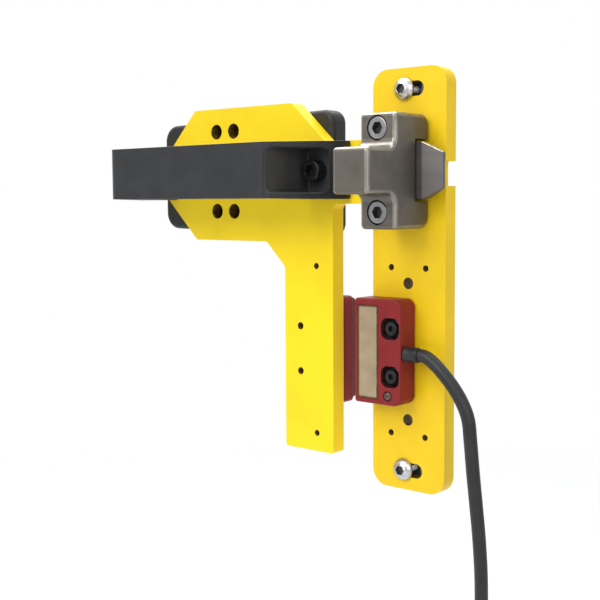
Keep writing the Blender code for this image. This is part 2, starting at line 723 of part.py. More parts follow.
def lap_screw_places():
    middle = TAB_END - LAP_LENGTH / 2
    return [("inner", middle - LAP_SCREW_PITCH / 2), ("outer", middle + LAP_SCREW_PITCH / 2)]


def handle_screw_places():
    return [("left", HANDLE_MIDDLE - HANDLE_PITCH / 2), ("right", HANDLE_MIDDLE + HANDLE_PITCH / 2)]


def carriage_screw_places():
    middle = -CHANNEL_RIGHT - SLIDE_CLEAR - CARRIAGE_LENGTH / 2
    return [("left", middle - CARRIAGE_SCREW_PITCH / 2), ("right", middle + CARRIAGE_SCREW_PITCH / 2)]


def actuator_screw_x():
    return -LEG_RIGHT - ACTUATOR_SCREW_INSET


def make_bolt_plate(moving):
    shape = prism(bolt_outline(), BOLT_BACK, BOLT_FACE)
    plate = place("bolt_plate", mesh_from(shape, "bolt_plate"), "yellow_paint", parent=moving)
    soften(plate, PLATE_EDGE, 1)
    near, far = BOLT_FACE - MM, BOLT_BACK + MM
    for up in (-1, 1):
        z = BOLT_HOLE_RISE + up * BOLT_HOLE_PITCH_Z / 2
        for across in (-1, 1):
            x = BOLT_HOLE_MIDDLE + across * BOLT_HOLE_PITCH_X / 2
            drill(plate, f"plain_hole_{up}_{across}", x, z, BOLT_HOLE, near, far)
        z = ACTUATOR_Z + up * LEG_HOLE_PITCH / 2
        drill(plate, f"leg_hole_{up}", -LEG_HOLE_X, z, SPARE_SMALL, near, far, 12)
    for end, z in actuator_screw_places():
        hole = M4_LOW["core"] + 2 * GAP
        drill(plate, "actuator_thread_" + end, actuator_screw_x(), z, hole, near, far, SMALL_SIDES)
    for end, x in handle_screw_places():
        drill(plate, "handle_thread_" + end, x, HANDLE_LIFT, M6_CAP["core"] + 2 * GAP, near, far, SMALL_SIDES)
    for end, x in carriage_screw_places():
        flat_seat(plate, "carriage_seat_" + end, M6_FLAT, x, 0, BOLT_FACE, BOLT_THICK + MM)
    lap_face = BOLT_BACK - LAP_THICK
    step = box_outline(TAB_END - LAP_LENGTH - GAP, TAB_END + MM, -TAB_HEIGHT, TAB_HEIGHT)
    cut(plate, "lap_step", prism(step, lap_face, BOLT_BACK + MM))
    for end, x in lap_screw_places():
        flat_seat(plate, "lap_seat_" + end, M4_FLAT, x, 0, BOLT_FACE, BOLT_THICK)


def make_tongue(moving):
    """Flat bar whose free end tapers on all four sides."""
    start = TAB_END - LAP_LENGTH
    parallel_end = KEEPER_RIGHT + TONGUE_REACH - TONGUE_TAPER
    end = KEEPER_RIGHT + TONGUE_REACH
    thin = (TONGUE_THICK - TONGUE_TIP_THICK) / 2
    sections = [
        (start, TONGUE_FACE, BOLT_BACK, TONGUE_HEIGHT / 2),
        (parallel_end, TONGUE_FACE, BOLT_BACK, TONGUE_HEIGHT / 2),
        (end, TONGUE_FACE + thin, BOLT_BACK - thin, TONGUE_TIP_HEIGHT / 2),
    ]
    shape = bmesh.new()
    rings = []
    for x, front, back, half in sections:
        spots = [(x, front, -half), (x, back, -half), (x, back, half), (x, front, half)]
        rings.append([shape.verts.new(spot) for spot in spots])
    for low, high in zip(rings, rings[1:]):
        for i in range(4):
            j = (i + 1) % 4
            shape.faces.new((low[i], low[j], high[j], high[i]))
    shape.faces.new(rings[0])
    shape.faces.new(rings[-1])
    tongue = place("bolt_tongue", mesh_from(shape, "bolt_tongue"), "tongue_steel", parent=moving)
    soften(tongue, 0.4 * MM, 1, 15)
    lap_face = BOLT_BACK - LAP_THICK + GAP
    step = box_outline(start - MM, TAB_END + GAP, -TONGUE_HEIGHT, TONGUE_HEIGHT)
    cut(tongue, "lap_front", prism(step, lap_face, TONGUE_FACE - MM))
    for end_name, x in lap_screw_places():
        hole = M4_FLAT["core"] + 2 * GAP
        drill(tongue, "lap_thread_" + end_name, x, 0, hole, lap_face - MM, BOLT_BACK + MM, SMALL_SIDES)
        plain = BOLT_FACE + GAP - (BOLT_BACK - LAP_THICK)
        threaded = LAP_THICK - MM
        spot = (x, BOLT_FACE + GAP, 0)
        made = screw("tongue_screw_" + end_name, M4_FLAT, -plain, threaded, spot, "zinc", flat=True)
        ride(made, moving)


def ride(thing, moving):
    """Parent a piece and its cutters to the moving group without shifting them."""
    thing.parent = moving
    for taken in thing.modifiers:
        if taken.type == "BOOLEAN":
            taken.object.parent = moving


def make_handle(moving):
    """Moulded bridge handle with sloping arms, a slimmer grip and a screw pocket in each arm."""
    foot = HANDLE_PITCH / 2 + HANDLE_OVERHANG
    front = foot - HANDLE_SLOPE
    inner = HANDLE_PITCH / 2 - POCKET_INWARD - HANDLE_WALL
    seat = BOLT_FACE - GAP
    half_side = [
        (inner, 0, 0),
        (foot, 0, 0),
        (foot, HANDLE_LIP, 1.5 * MM),
        (front, HANDLE_RISE, HANDLE_BEND),
    ]
    back = HANDLE_RISE - HANDLE_GRIP
    left = [(-x, y, r) for x, y, r in reversed(half_side)]
    arch = [(-inner + MM, back, HANDLE_BEND), (inner - MM, back, HANDLE_BEND)]
    corners = [(HANDLE_MIDDLE + x, seat - y, r) for x, y, r in half_side + left + arch]
    low, high = HANDLE_LIFT - HANDLE_WIDTH / 2, HANDLE_LIFT + HANDLE_WIDTH / 2
    mesh = mesh_from(prism(rounded(corners), low, high, "Z"), "handle")
    handle = place("handle", mesh, "black_nylon", parent=moving)
    for edge, side in ((low, -1), (high, 1)):
        draft = [
            (seat - HANDLE_LIP, edge),
            (seat - HANDLE_RISE / 2, edge - side * HANDLE_DRAFT * 0.85),
            (seat - HANDLE_RISE - MM, edge - side * HANDLE_DRAFT),
            (seat - HANDLE_RISE - MM, edge + side * MM),
            (seat - HANDLE_LIP, edge + side * MM),
        ]
        wedge = prism(draft, HANDLE_MIDDLE - foot - MM, HANDLE_MIDDLE + foot + MM, "X")
        cut(handle, f"handle_draft_{side}", wedge)
    soften(handle, HANDLE_EDGE, 2, 30)
    floor = seat - POCKET_FLOOR
    half = POCKET_HEIGHT / 2
    for end, x in handle_screw_places():
        side = 1 if end == "right" else -1
        bounds = sorted((x - side * POCKET_INWARD, x + side * POCKET_OUTWARD))
        pocket = box_outline(bounds[0], bounds[1], HANDLE_LIFT - half, HANDLE_LIFT + half, POCKET_CORNER)
        cut(handle, "handle_pocket_" + end, prism(pocket, floor, seat - HANDLE_RISE - MM))
        hole = M6_CAP["thread"] + 2 * GAP
        drill(handle, "handle_hole_" + end, x, HANDLE_LIFT, hole, floor - MM, seat + MM, SMALL_SIDES)
        spot = (x, floor - GAP, HANDLE_LIFT)
        plain = POCKET_FLOOR + GAP
        made = screw("handle_screw_" + end, M6_CAP, plain, BOLT_THICK - MM, spot, "black_oxide")
        ride(made, moving)


def make_carriage(moving):
    """T-shaped runner screwed to the back of the bolt plate."""
    back = -BACK_PLATE_THICK - 2 * GAP
    shelf = -GUIDE_DEPTH + GUIDE_LIP + SLIDE_CLEAR
    wide = CHANNEL_HEIGHT / 2 - SLIDE_CLEAR
    neck = CHANNEL_MOUTH / 2 - SLIDE_CLEAR
    front = BOLT_BACK + GAP
    outline = [
        (front, -neck),
        (shelf, -neck),
        (shelf, -wide),
        (back, -wide),
        (back, wide),
        (shelf, wide),
        (shelf, neck),
        (front, neck),
    ]
    right = -CHANNEL_RIGHT - SLIDE_CLEAR
    shape = prism(outline, right - CARRIAGE_LENGTH, right, "X")
    carriage = place("carriage", mesh_from(shape, "carriage"), "acetal", parent=moving)
    soften(carriage, 0.5 * MM, 1)
    for end, x in carriage_screw_places():
        hole = M6_FLAT["core"] + 2 * GAP
        drill(carriage, "carriage_thread_" + end, x, 0, hole, front - MM, back + MM, SMALL_SIDES)
        plain = BOLT_THICK - GAP
        threaded = back - front - 2 * MM
        spot = (x, BOLT_FACE + GAP, 0)
        made = screw("carriage_screw_" + end, M6_FLAT, plain, threaded, spot, "zinc", flat=True)
        ride(made, moving)


def guide_ends():
    """Where the channel starts and stops: the carriage's length, its travel and a clearance at each end."""
    right = -CHANNEL_RIGHT
    return right - CARRIAGE_LENGTH - BOLT_TRAVEL - 2 * SLIDE_CLEAR, right


def make_guide():
    """Gate-side body, a little taller at its right end, with a T-channel for the carriage."""
    left, right = -GUIDE_LEFT, -GUIDE_RIGHT
    low, high = GUIDE_HEIGHT_LEFT / 2, GUIDE_HEIGHT_RIGHT / 2
    corners = [
        (left, -low, GUIDE_CORNER_LEFT),
        (right, -high, GUIDE_CORNER_RIGHT),
        (right, high, GUIDE_CORNER_RIGHT),
        (left, low, GUIDE_CORNER_LEFT),
    ]
    shape = prism(rounded(corners), 0, -GUIDE_DEPTH)
    guide = place("guide_body", mesh_from(shape, "guide_body"), "guide_black")
    soften(guide, GUIDE_EDGE, 2)
    start, stop = guide_ends()
    wide, mouth = CHANNEL_HEIGHT / 2, CHANNEL_MOUTH / 2
    shelf = -GUIDE_DEPTH + GUIDE_LIP
    cut(guide, "channel", prism(box_outline(start, stop, -wide, wide), MM, shelf))
    opening = box_outline(start, stop, -mouth, mouth)
    cut(guide, "channel_mouth", prism(opening, shelf + MM, -GUIDE_DEPTH - MM))
    lap, end_lap = BACK_PLATE_LAP, BACK_PLATE_END_LAP
    rebate = box_outline(start - end_lap, stop + end_lap, -wide - lap, wide + lap, 2 * MM)
    cut(guide, "back_rebate", prism(rebate, MM, -BACK_PLATE_THICK - GAP))
    for end, z in guide_screw_places():
        x = right - GUIDE_SCREW_INSET
        flat_seat(guide, "guide_seat_" + end, M6_FLAT, x, z, -GUIDE_DEPTH, GUIDE_DEPTH + MM)
        threaded = GAP + NUT_NECK_HEIGHT + NUT_BODY_HEIGHT - MM
        spot = (x, -GUIDE_DEPTH + GAP, z)
        screw("guide_screw_" + end, M6_FLAT, GUIDE_DEPTH - GAP, threaded, spot, "zinc", flat=True)
        make_t_nut("guide_nut_" + end, x, z)
    make_back_plate(guide)


def make_back_plate(guide):
    """Steel plate, flush with the guide's back, that closes the channel."""
    start, stop = guide_ends()
    high = CHANNEL_HEIGHT / 2 + BACK_PLATE_LAP - GAP
    end_inset = BACK_PLATE_END_LAP - GAP
    cover = box_outline(start - end_inset, stop + end_inset, -high, high, 2 * MM)
    shape = prism(cover, 0, -BACK_PLATE_THICK)
    back_plate = place("guide_back_plate", mesh_from(shape, "guide_back_plate"), "zinc")
    x = (start + stop) / 2
    for name, side in (("top", 1), ("bottom", -1)):
        z = side * (CHANNEL_HEIGHT / 2 + BACK_PLATE_LAP / 2)
        flat_seat_back(back_plate, "back_seat_" + name, M3_FLAT, x, z)
        deep = BACK_PLATE_THICK + 4 * MM
        drill(guide, "back_thread_" + name, x, z, M3_FLAT["core"] + 2 * GAP, 0, -deep - GAP, 12)
        spot = (x, -GAP, z)
        screw("back_plate_screw_" + name, M3_FLAT, 0, deep - GAP, spot, "zinc", flat=True, turn=TO_BACK)


def flat_seat_back(thing, name, size, x, z):
    """A countersink let in from the back face."""
    head = size["head"] / 2 + GAP
    hole = size["thread"] / 2 + GAP
    deep = BACK_PLATE_THICK + MM
    profile = [(0, -deep), (hole, -deep), (hole, -size["height"] - GAP), (head, -GAP), (head, MM), (0, MM)]
    cut(thing, name, turned(profile, SMALL_SIDES), (x, 0, z), TO_BACK)


def make_actuator(moving):
    """Potted actuator screwed to the back of the leg, with a smaller base towards the profile."""
    front = BOLT_BACK + GAP
    step = front + ACTUATOR_FRONT_THICK
    back = step + ACTUATOR_BASE_THICK
    left, right = -LEG_RIGHT - ACTUATOR_WIDTH, -LEG_RIGHT
    low, high = ACTUATOR_Z - ACTUATOR_HEIGHT / 2, ACTUATOR_Z + ACTUATOR_HEIGHT / 2
    outline = box_outline(left, right, low, high, SENSOR_CORNER / 2)
    mesh = mesh_from(prism(outline, front, back), "actuator")
    actuator = place("actuator", mesh, "sensor_red", parent=moving)
    soften(actuator, SENSOR_EDGE, 1)
    out, inset = 5 * MM, ACTUATOR_BASE_INSET
    rim = prism(box_outline(left - out, right + out, low - out, high + out), step, back + MM)
    kept = box_outline(left + inset, right - inset, low + inset, high - inset, SENSOR_CORNER / 2)
    cut_ring(actuator, "actuator_step", rim, prism(kept, step - MM, back + 2 * MM))
    x = actuator_screw_x()
    seat = back - M4_LOW["height"] - 2 * GAP
    for end, z in actuator_screw_places():
        drill(actuator, "actuator_bore_" + end, x, z, M4_LOW["head"] + 2 * GAP, seat, back + MM)
        hole = M4_LOW["thread"] + 2 * GAP
        drill(actuator, "actuator_hole_" + end, x, z, hole, front - MM, seat + MM, SMALL_SIDES)
        spot = (x, seat + GAP, z)
        plain = seat + GAP - BOLT_BACK
        name = "actuator_screw_" + end
        made = screw(name, M4_LOW, plain, BOLT_THICK * 0.6, spot, "zinc", turn=TO_BACK)
        ride(made, moving)


def cut_ring(thing, name, outer, inner):
    """Take away a frame-shaped strip: the outer shape less the inner one."""
    cut(thing, name, outer)
    ring = thing.modifiers[-1].object
    cut(ring, name + "_core", inner)


def make_sensor():
    """Potted sensor housing with screw recesses, label recess, lens and cable exit."""
    half = SENSOR_HEIGHT / 2
    low, high = SENSOR_Z - half, SENSOR_Z + half
    outline = rounded(
        [
            (SENSOR_LEFT, low, MM),
            (SENSOR_RIGHT, low, SENSOR_CORNER),
            (SENSOR_RIGHT, high, SENSOR_CORNER),
            (SENSOR_LEFT, high, MM),
        ]
    )
    shape = prism(outline, SENSOR_SEAT, SENSOR_FACE)
    body = place("sensor_body", mesh_from(shape, "sensor_body"), "sensor_red")
    soften(body, SENSOR_EDGE, 2)
    seat = SENSOR_FACE + SENSOR_RECESS_DEPTH
    for end, z in sensor_screw_places():
        side = SENSOR_RECESS / 2
        left, right = SENSOR_SCREW_X - side, SENSOR_SCREW_X + side
        recess = box_outline(left, right, z - side, z + side, SENSOR_RECESS_CORNER)
        cut(body, "sensor_recess_" + end, prism(recess, SENSOR_FACE - MM, seat))
        hole = M4_WIDE["thread"] + 2 * GAP
        drill(body, "sensor_hole_" + end, SENSOR_SCREW_X, z, hole, seat - MM, SENSOR_SEAT + MM, SMALL_SIDES)
        spot = (SENSOR_SCREW_X, seat - GAP, z)
        plain = SENSOR_SEAT - seat + GAP
        screw("sensor_screw_" + end, M4_WIDE, plain, PLATE_THICK - MM, spot, "black_oxide")
    label_floor = SENSOR_FACE + LABEL_THICK + 1.2 * GAP
    label_left = SENSOR_LEFT + LABEL_INSET
    rim = GAP
    tall = LABEL_HEIGHT / 2
    low, high = SENSOR_Z - LABEL_DROP - tall, SENSOR_Z - LABEL_DROP + tall
    recess = box_outline(label_left - rim, label_left + LABEL_WIDTH + rim, low - rim, high + rim)
    cut(body, "label_recess", prism(recess, SENSOR_FACE - MM, label_floor))
    label = box_outline(label_left, label_left + LABEL_WIDTH, low, high)
    shape = prism(label, label_floor - GAP, label_floor - GAP - LABEL_THICK)
    place("blank_label", mesh_from(shape, "blank_label"), "label_foil")
    lens_x = SENSOR_RIGHT - LENS_INSET
    lens_z = SENSOR_Z - LENS_DROP
    bore = LENS_DIAMETER + 2 * GAP
    drill(body, "lens_bore", lens_x, lens_z, bore, SENSOR_FACE - MM, SENSOR_FACE + LENS_DEPTH)
    r = LENS_DIAMETER / 2
    dome = [(0, -LENS_DEPTH + GAP), (r, -LENS_DEPTH + GAP), (r, 0), (r * 0.75, 0.35 * MM), (0, 0.5 * MM)]
    mesh = mesh_from(turned(dome, SMALL_SIDES), "status_lens")
    place("status_lens", mesh, "lens", (lens_x, SENSOR_FACE, lens_z), TO_VIEWER)
    exit_y = SENSOR_FACE + CABLE_SETBACK
    bore = RELIEF_SPIGOT / 2 + GAP
    floor = -RELIEF_SPIGOT_LENGTH - GAP
    hollow = turned([(0, floor), (bore, floor), (bore, MM), (0, MM)])
    cut(body, "cable_bore", hollow, (SENSOR_RIGHT, exit_y, CABLE_Z), TO_RIGHT)


def make_relief():
    """Tapered sleeve that the cable leaves the sensor through."""
    spigot = RELIEF_SPIGOT / 2
    wide, slim = RELIEF_DIAMETER / 2, RELIEF_TIP / 2
    soft = 0.6 * MM
    profile = [
        (0, -RELIEF_SPIGOT_LENGTH),
        (spigot, -RELIEF_SPIGOT_LENGTH),
        (spigot, GAP),
        (wide, GAP),
        (wide, 2 * MM),
        (slim, RELIEF_LENGTH - soft),
        (slim - soft, RELIEF_LENGTH),
        (0, RELIEF_LENGTH),
    ]
    spot = (SENSOR_RIGHT, SENSOR_FACE + CABLE_SETBACK, CABLE_Z)
    place("strain_relief", mesh_from(turned(profile), "strain_relief"), "cable_black", spot, TO_RIGHT)


def cable_start():
    return Vector((SENSOR_RIGHT + RELIEF_LENGTH + GAP, SENSOR_FACE + CABLE_SETBACK, CABLE_Z))


def cable_knots():
    """Places that the cable passes, measured from the end of the strain relief."""
    start = cable_start()
    steps = [
        (2, 0, 0),
        (6, 0, -1.9),
        (12, 0, -6.8),
        (17.4, 0.2, -12.6),
        (21.7, 0.4, -18.8),
        (24.7, 0.7, -26),
        (25.8, 1, -36),
        (27, 1.4, -50),
        (28.4, 1.8, -64),
        (29.8, 2.1, -78),
        (30.8, 2.4, -94),
        (31.1, 2.6, -112),
        (31.2, 2.7, -132),
        (31.2, 2.7, -152),
        (31.2, 2.7, -172),
        (31.2, 2.7, -182),
    ]
    return [start + Vector(step) * MM for step in steps]


def smooth_line(knots, spacing):
    """Points a set distance apart along a smooth curve through the knots."""
    fine = []
    for i in range(len(knots) - 1):
        before = knots[max(i - 1, 0)]
        after = knots[min(i + 2, len(knots) - 1)]
        here, there = knots[i], knots[i + 1]
        for step in range(12):
            t = step / 12
            lead = (there - before) * 0.5
            trail = (after - here) * 0.5
            bend = here * (2 * t**3 - 3 * t**2 + 1) + lead * (t**3 - 2 * t**2 + t)
            fine.append(bend + there * (-2 * t**3 + 3 * t**2) + trail * (t**3 - t**2))
    fine.append(knots[-1])
    total = sum((b - a).length for a, b in zip(fine, fine[1:]))
    count = round(total / spacing)
    points, travelled, index = [fine[0]], 0.0, 0
    for k in range(1, count):
        wanted = total * k / count
        while travelled + (fine[index + 1] - fine[index]).length < wanted:
            travelled += (fine[index + 1] - fine[index]).length
            index += 1
        piece = fine[index + 1] - fine[index]
        points.append(fine[index] + piece * ((wanted - travelled) / piece.length))
    return points + [fine[-1]]


def make_cable():
    points = [cable_start()] + smooth_line(cable_knots(), 1.6 * CABLE_DIAMETER)
    line = bpy.data.curves.new("sensor_cable", "CURVE")
    line.dimensions = "3D"
    line.bevel_depth = CABLE_DIAMETER / 2
    line.bevel_resolution = 3
    line.use_fill_caps = True
    spline = line.splines.new("POLY")
    spline.points.add(len(points) - 1)
    for spot, point in zip(spline.points, points):
        spot.co = (*point, 1)
    line.materials.append(material("cable_black"))
    cable = bpy.data.objects.new("sensor_cable", line)
    bpy.context.scene.collection.objects.link(cable)
    return points[-1]


def make_plug(end):
    """Four-pin plug on the cable's end, facing down."""
    origin = (end.x, end.y, end.z - GAP)
    neck = CABLE_DIAMETER / 2 + 0.8 * MM
    grip, nose = PLUG_GRIP_DIAMETER / 2, PLUG_NOSE_DIAMETER / 2
    flare = PLUG_GRIP_LENGTH * 0.45
    collar = PLUG_GRIP_LENGTH
    tip = collar + PLUG_NOSE_LENGTH
    profile = [
        (0, 0),
        (neck, 0),
        (neck + 0.5 * MM, flare * 0.5),
        (grip - 0.8 * MM, flare),
        (grip, flare + 2 * MM),
        (grip, collar),
        (nose, collar),
        (nose, tip),
        (0, tip),
    ]
    place("plug_body", mesh_from(turned(profile), "plug_body"), "cable_black", origin, DOWNWARD)
    outer, bore = PLUG_NUT_DIAMETER / 2, nose + GAP
    top = collar + GAP
    bottom = top + PLUG_NUT_LENGTH
    soft = 0.6 * MM
    mouth = outer - 1.6 * MM
    ring = [
        (bore, top),
        (outer - soft, top),
        (outer, top + soft),
        (outer, bottom - soft),
        (outer - soft, bottom),
        (mouth, bottom),
        (mouth, top + PLUG_NUT_LENGTH * 0.35),
        (bore, top + PLUG_NUT_LENGTH * 0.35),
    ]
    place("plug_nut", mesh_from(tube(ring), "plug_nut"), "zinc", origin, DOWNWARD)
    disc = nose - 2 * GAP
    carrier = tip + GAP
    base = [(0, carrier), (disc, carrier), (disc, carrier + MM), (0, carrier + MM)]
    pins = place("plug_pins", mesh_from(turned(base), "plug_pins"), "zinc", origin, DOWNWARD)
    reach = 2.2 * MM
    for i in range(4):
        across = reach * math.cos(math.radians(45 + 90 * i))
        along = reach * math.sin(math.radians(45 + 90 * i))
        outline = round_outline(across, along, PLUG_PIN_DIAMETER, 10)
        pin = prism(outline, carrier + MM / 2, carrier + MM + PLUG_PIN_LENGTH, "Z")
        cut(pins, f"plug_pin_{i + 1}", pin, origin, DOWNWARD)
        pins.modifiers[-1].operation = "UNION"


def build():
    clear_scene()
    make_frame_plate()
    make_plate_screws()
    make_keeper()
    make_plunger()
    make_guide()
    moving = bpy.data.objects.new("bolt_axis", None)
    bpy.context.scene.collection.objects.link(moving)
    make_bolt_plate(moving)
    make_tongue(moving)
    make_handle(moving)
    make_carriage(moving)
    make_actuator(moving)
    make_sensor()
    make_relief()
    make_plug(make_cable())


build()
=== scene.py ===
import math

import bmesh
import bpy
from mathutils import Matrix, Vector


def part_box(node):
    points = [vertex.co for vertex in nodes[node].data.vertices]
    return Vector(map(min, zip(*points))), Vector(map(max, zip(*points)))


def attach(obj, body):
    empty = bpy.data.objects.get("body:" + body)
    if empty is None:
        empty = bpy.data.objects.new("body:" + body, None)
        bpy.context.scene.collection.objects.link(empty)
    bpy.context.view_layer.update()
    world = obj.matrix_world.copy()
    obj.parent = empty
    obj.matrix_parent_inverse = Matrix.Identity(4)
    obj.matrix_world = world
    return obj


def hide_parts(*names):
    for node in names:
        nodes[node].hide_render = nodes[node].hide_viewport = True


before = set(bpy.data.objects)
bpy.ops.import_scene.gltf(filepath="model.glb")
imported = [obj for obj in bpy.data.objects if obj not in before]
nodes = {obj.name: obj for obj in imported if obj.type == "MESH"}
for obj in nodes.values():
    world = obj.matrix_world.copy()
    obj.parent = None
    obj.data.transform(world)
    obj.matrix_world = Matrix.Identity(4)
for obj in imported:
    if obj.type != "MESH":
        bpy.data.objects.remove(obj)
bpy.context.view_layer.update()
scene = bpy.context.scene

# Shapes below are written in millimetres, in the frame of the solids, and scaled once when a mesh is made
MM = 0.001


def to_linear(red, green, blue):
    """A colour as a screen shows it, 0 to 255, turned into the shader's scale."""
    def one(value):
        value /= 255
        return value / 12.92 if value < 0.04045 else ((value + 0.055) / 1.055) ** 2.4
    return (one(red), one(green), one(blue), 1)


# Camera, placed from the corners of the two plates in the photograph: angles in degrees, place in metres
CAMERA_AZIMUTH = 40.55
CAMERA_ELEVATION = 5.27
CAMERA_ROLL = -0.36
CAMERA_PLACE = (0.2812, -0.4130, -0.0126)
PICTURE_SIDE = 600
FOCAL_PIXELS = 1074.1
SENSOR_SIDE = 36


def make_camera():
    azimuth, elevation, roll = (math.radians(a) for a in (CAMERA_AZIMUTH, CAMERA_ELEVATION, CAMERA_ROLL))
    ahead = Vector((
        -math.sin(azimuth) * math.cos(elevation),
        math.cos(azimuth) * math.cos(elevation),
        -math.sin(elevation),
    ))
    right = ahead.cross(Vector((0, 0, 1))).normalized()
    up = right.cross(ahead)
    rolled_right = right * math.cos(roll) + up * math.sin(roll)
    rolled_up = up * math.cos(roll) - right * math.sin(roll)
    lens = bpy.data.cameras.new("camera")
    lens.sensor_width = SENSOR_SIDE
    lens.lens = SENSOR_SIDE * FOCAL_PIXELS / PICTURE_SIDE
    lens.shift_y = -1 / PICTURE_SIDE
    camera = bpy.data.objects.new("camera", lens)
    turn = Matrix((rolled_right, rolled_up, -ahead)).transposed().to_4x4()
    turn.translation = Vector(CAMERA_PLACE)
    camera.matrix_world = turn
    scene.collection.objects.link(camera)
    scene.camera = camera


# Material helpers
def node(tree, kind, **settings):
    made = tree.nodes.new(kind)
    for name, value in settings.items():
        if name in made.inputs:
            made.inputs[name].default_value = value
        else:
            setattr(made, name, value)
    return made


def wires(tree, *pairs):
    for start, end in pairs:
        tree.links.new(start, end)


def ramp(tree, source, stops):
    made = tree.nodes.new("ShaderNodeValToRGB")
    band = made.color_ramp
    while len(band.elements) < len(stops):
        band.elements.new(0.5)
    for element, (place, colour) in zip(band.elements, stops):
        element.position = place
        element.color = colour if len(colour) == 4 else (*colour, 1)
    tree.links.new(source, made.inputs["Fac"])
    return made.outputs["Color"]


def noise(tree, scale, detail=4.0, stretch=(1, 1, 1), rough=0.55, shift=0.0):
    """Noise over the object's own coordinates, in cycles per metre."""
    place = tree.nodes.new("ShaderNodeTexCoord")
    mapping = tree.nodes.new("ShaderNodeMapping")
    mapping.inputs["Scale"].default_value = [scale * s for s in stretch]
    mapping.inputs["Location"].default_value = (shift, shift * 0.7, shift * 1.3)
    grain = node(tree, "ShaderNodeTexNoise", Detail=detail, Roughness=rough)
    grain.inputs["Scale"].default_value = 1.0
    wires(
        tree,
        (place.outputs["Object"], mapping.inputs["Vector"]),
        (mapping.outputs["Vector"], grain.inputs["Vector"]),
    )
    return grain.outputs["Fac"]


def grey(value):
    return (value, value, value, 1)


def blend(tree, factor, low, high):
    """Mix two colours by a factor socket. Each colour is a socket or a plain colour."""
    made = tree.nodes.new("ShaderNodeMix")
    made.data_type = "RGBA"
    wires(tree, (factor, made.inputs["Factor"]))
    for end, name in ((low, "A"), (high, "B")):
        socket = [s for s in made.inputs if s.name == name and s.type == "RGBA"][0]
        if isinstance(end, bpy.types.NodeSocket):
            wires(tree, (end, socket))
        else:
            socket.default_value = end
    return [s for s in made.outputs if s.type == "RGBA"][0]


def finish(name, stops, patch, rough, metallic=0.0, grain=1500, bump=0.1, depth=0.1, stretch=(1, 1, 1),
           specks=None, coat=0.0, specular=0.5, sheen=0.0):
    """A surface whose colour, roughness and grain vary from place to place.

    stops: colours over the patch noise; patch and grain: cycles per metre; rough: lowest and highest
    roughness; specks: (cycles per metre, share covered, colour) of small marks.
    """
    made = bpy.data.materials.new(name)
    made.use_nodes = True
    tree = made.node_tree
    shader = tree.nodes["Principled BSDF"]
    shader.inputs["Metallic"].default_value = metallic
    shader.inputs["Coat Weight"].default_value = coat
    shader.inputs["Coat Roughness"].default_value = 0.25
    shader.inputs["Specular IOR Level"].default_value = specular
    shader.inputs["Sheen Weight"].default_value = sheen
    mottle = noise(tree, patch, 5.0, stretch)
    places = [0.32 + 0.36 * i / max(len(stops) - 1, 1) for i in range(len(stops))]
    colour = ramp(tree, mottle, list(zip(places, stops)))
    fine = noise(tree, grain, 3.0, stretch, 0.6, 3.0)
    if specks:
        size, share, tint = specks
        marks = noise(tree, size, 2.0, (1, 1, 1), 0.5, 7.0)
        edge = 0.78 - share
        mask = ramp(tree, marks, [(edge, grey(0)), (edge + 0.04, grey(1))])
        colour = blend(tree, mask, colour, tint)
    wires(tree, (colour, shader.inputs["Base Color"]))
    rubbed = noise(tree, patch * 3, 4.0, stretch, 0.6, 5.0)
    gloss = ramp(tree, rubbed, [(0.3, grey(rough[0])), (0.7, grey(rough[1]))])
    wires(tree, (gloss, shader.inputs["Roughness"]))
    relief = node(tree, "ShaderNodeBump", Strength=bump, Distance=depth * MM)
    wires(tree, (fine, relief.inputs["Height"]), (relief.outputs["Normal"], shader.inputs["Normal"]))
    return made


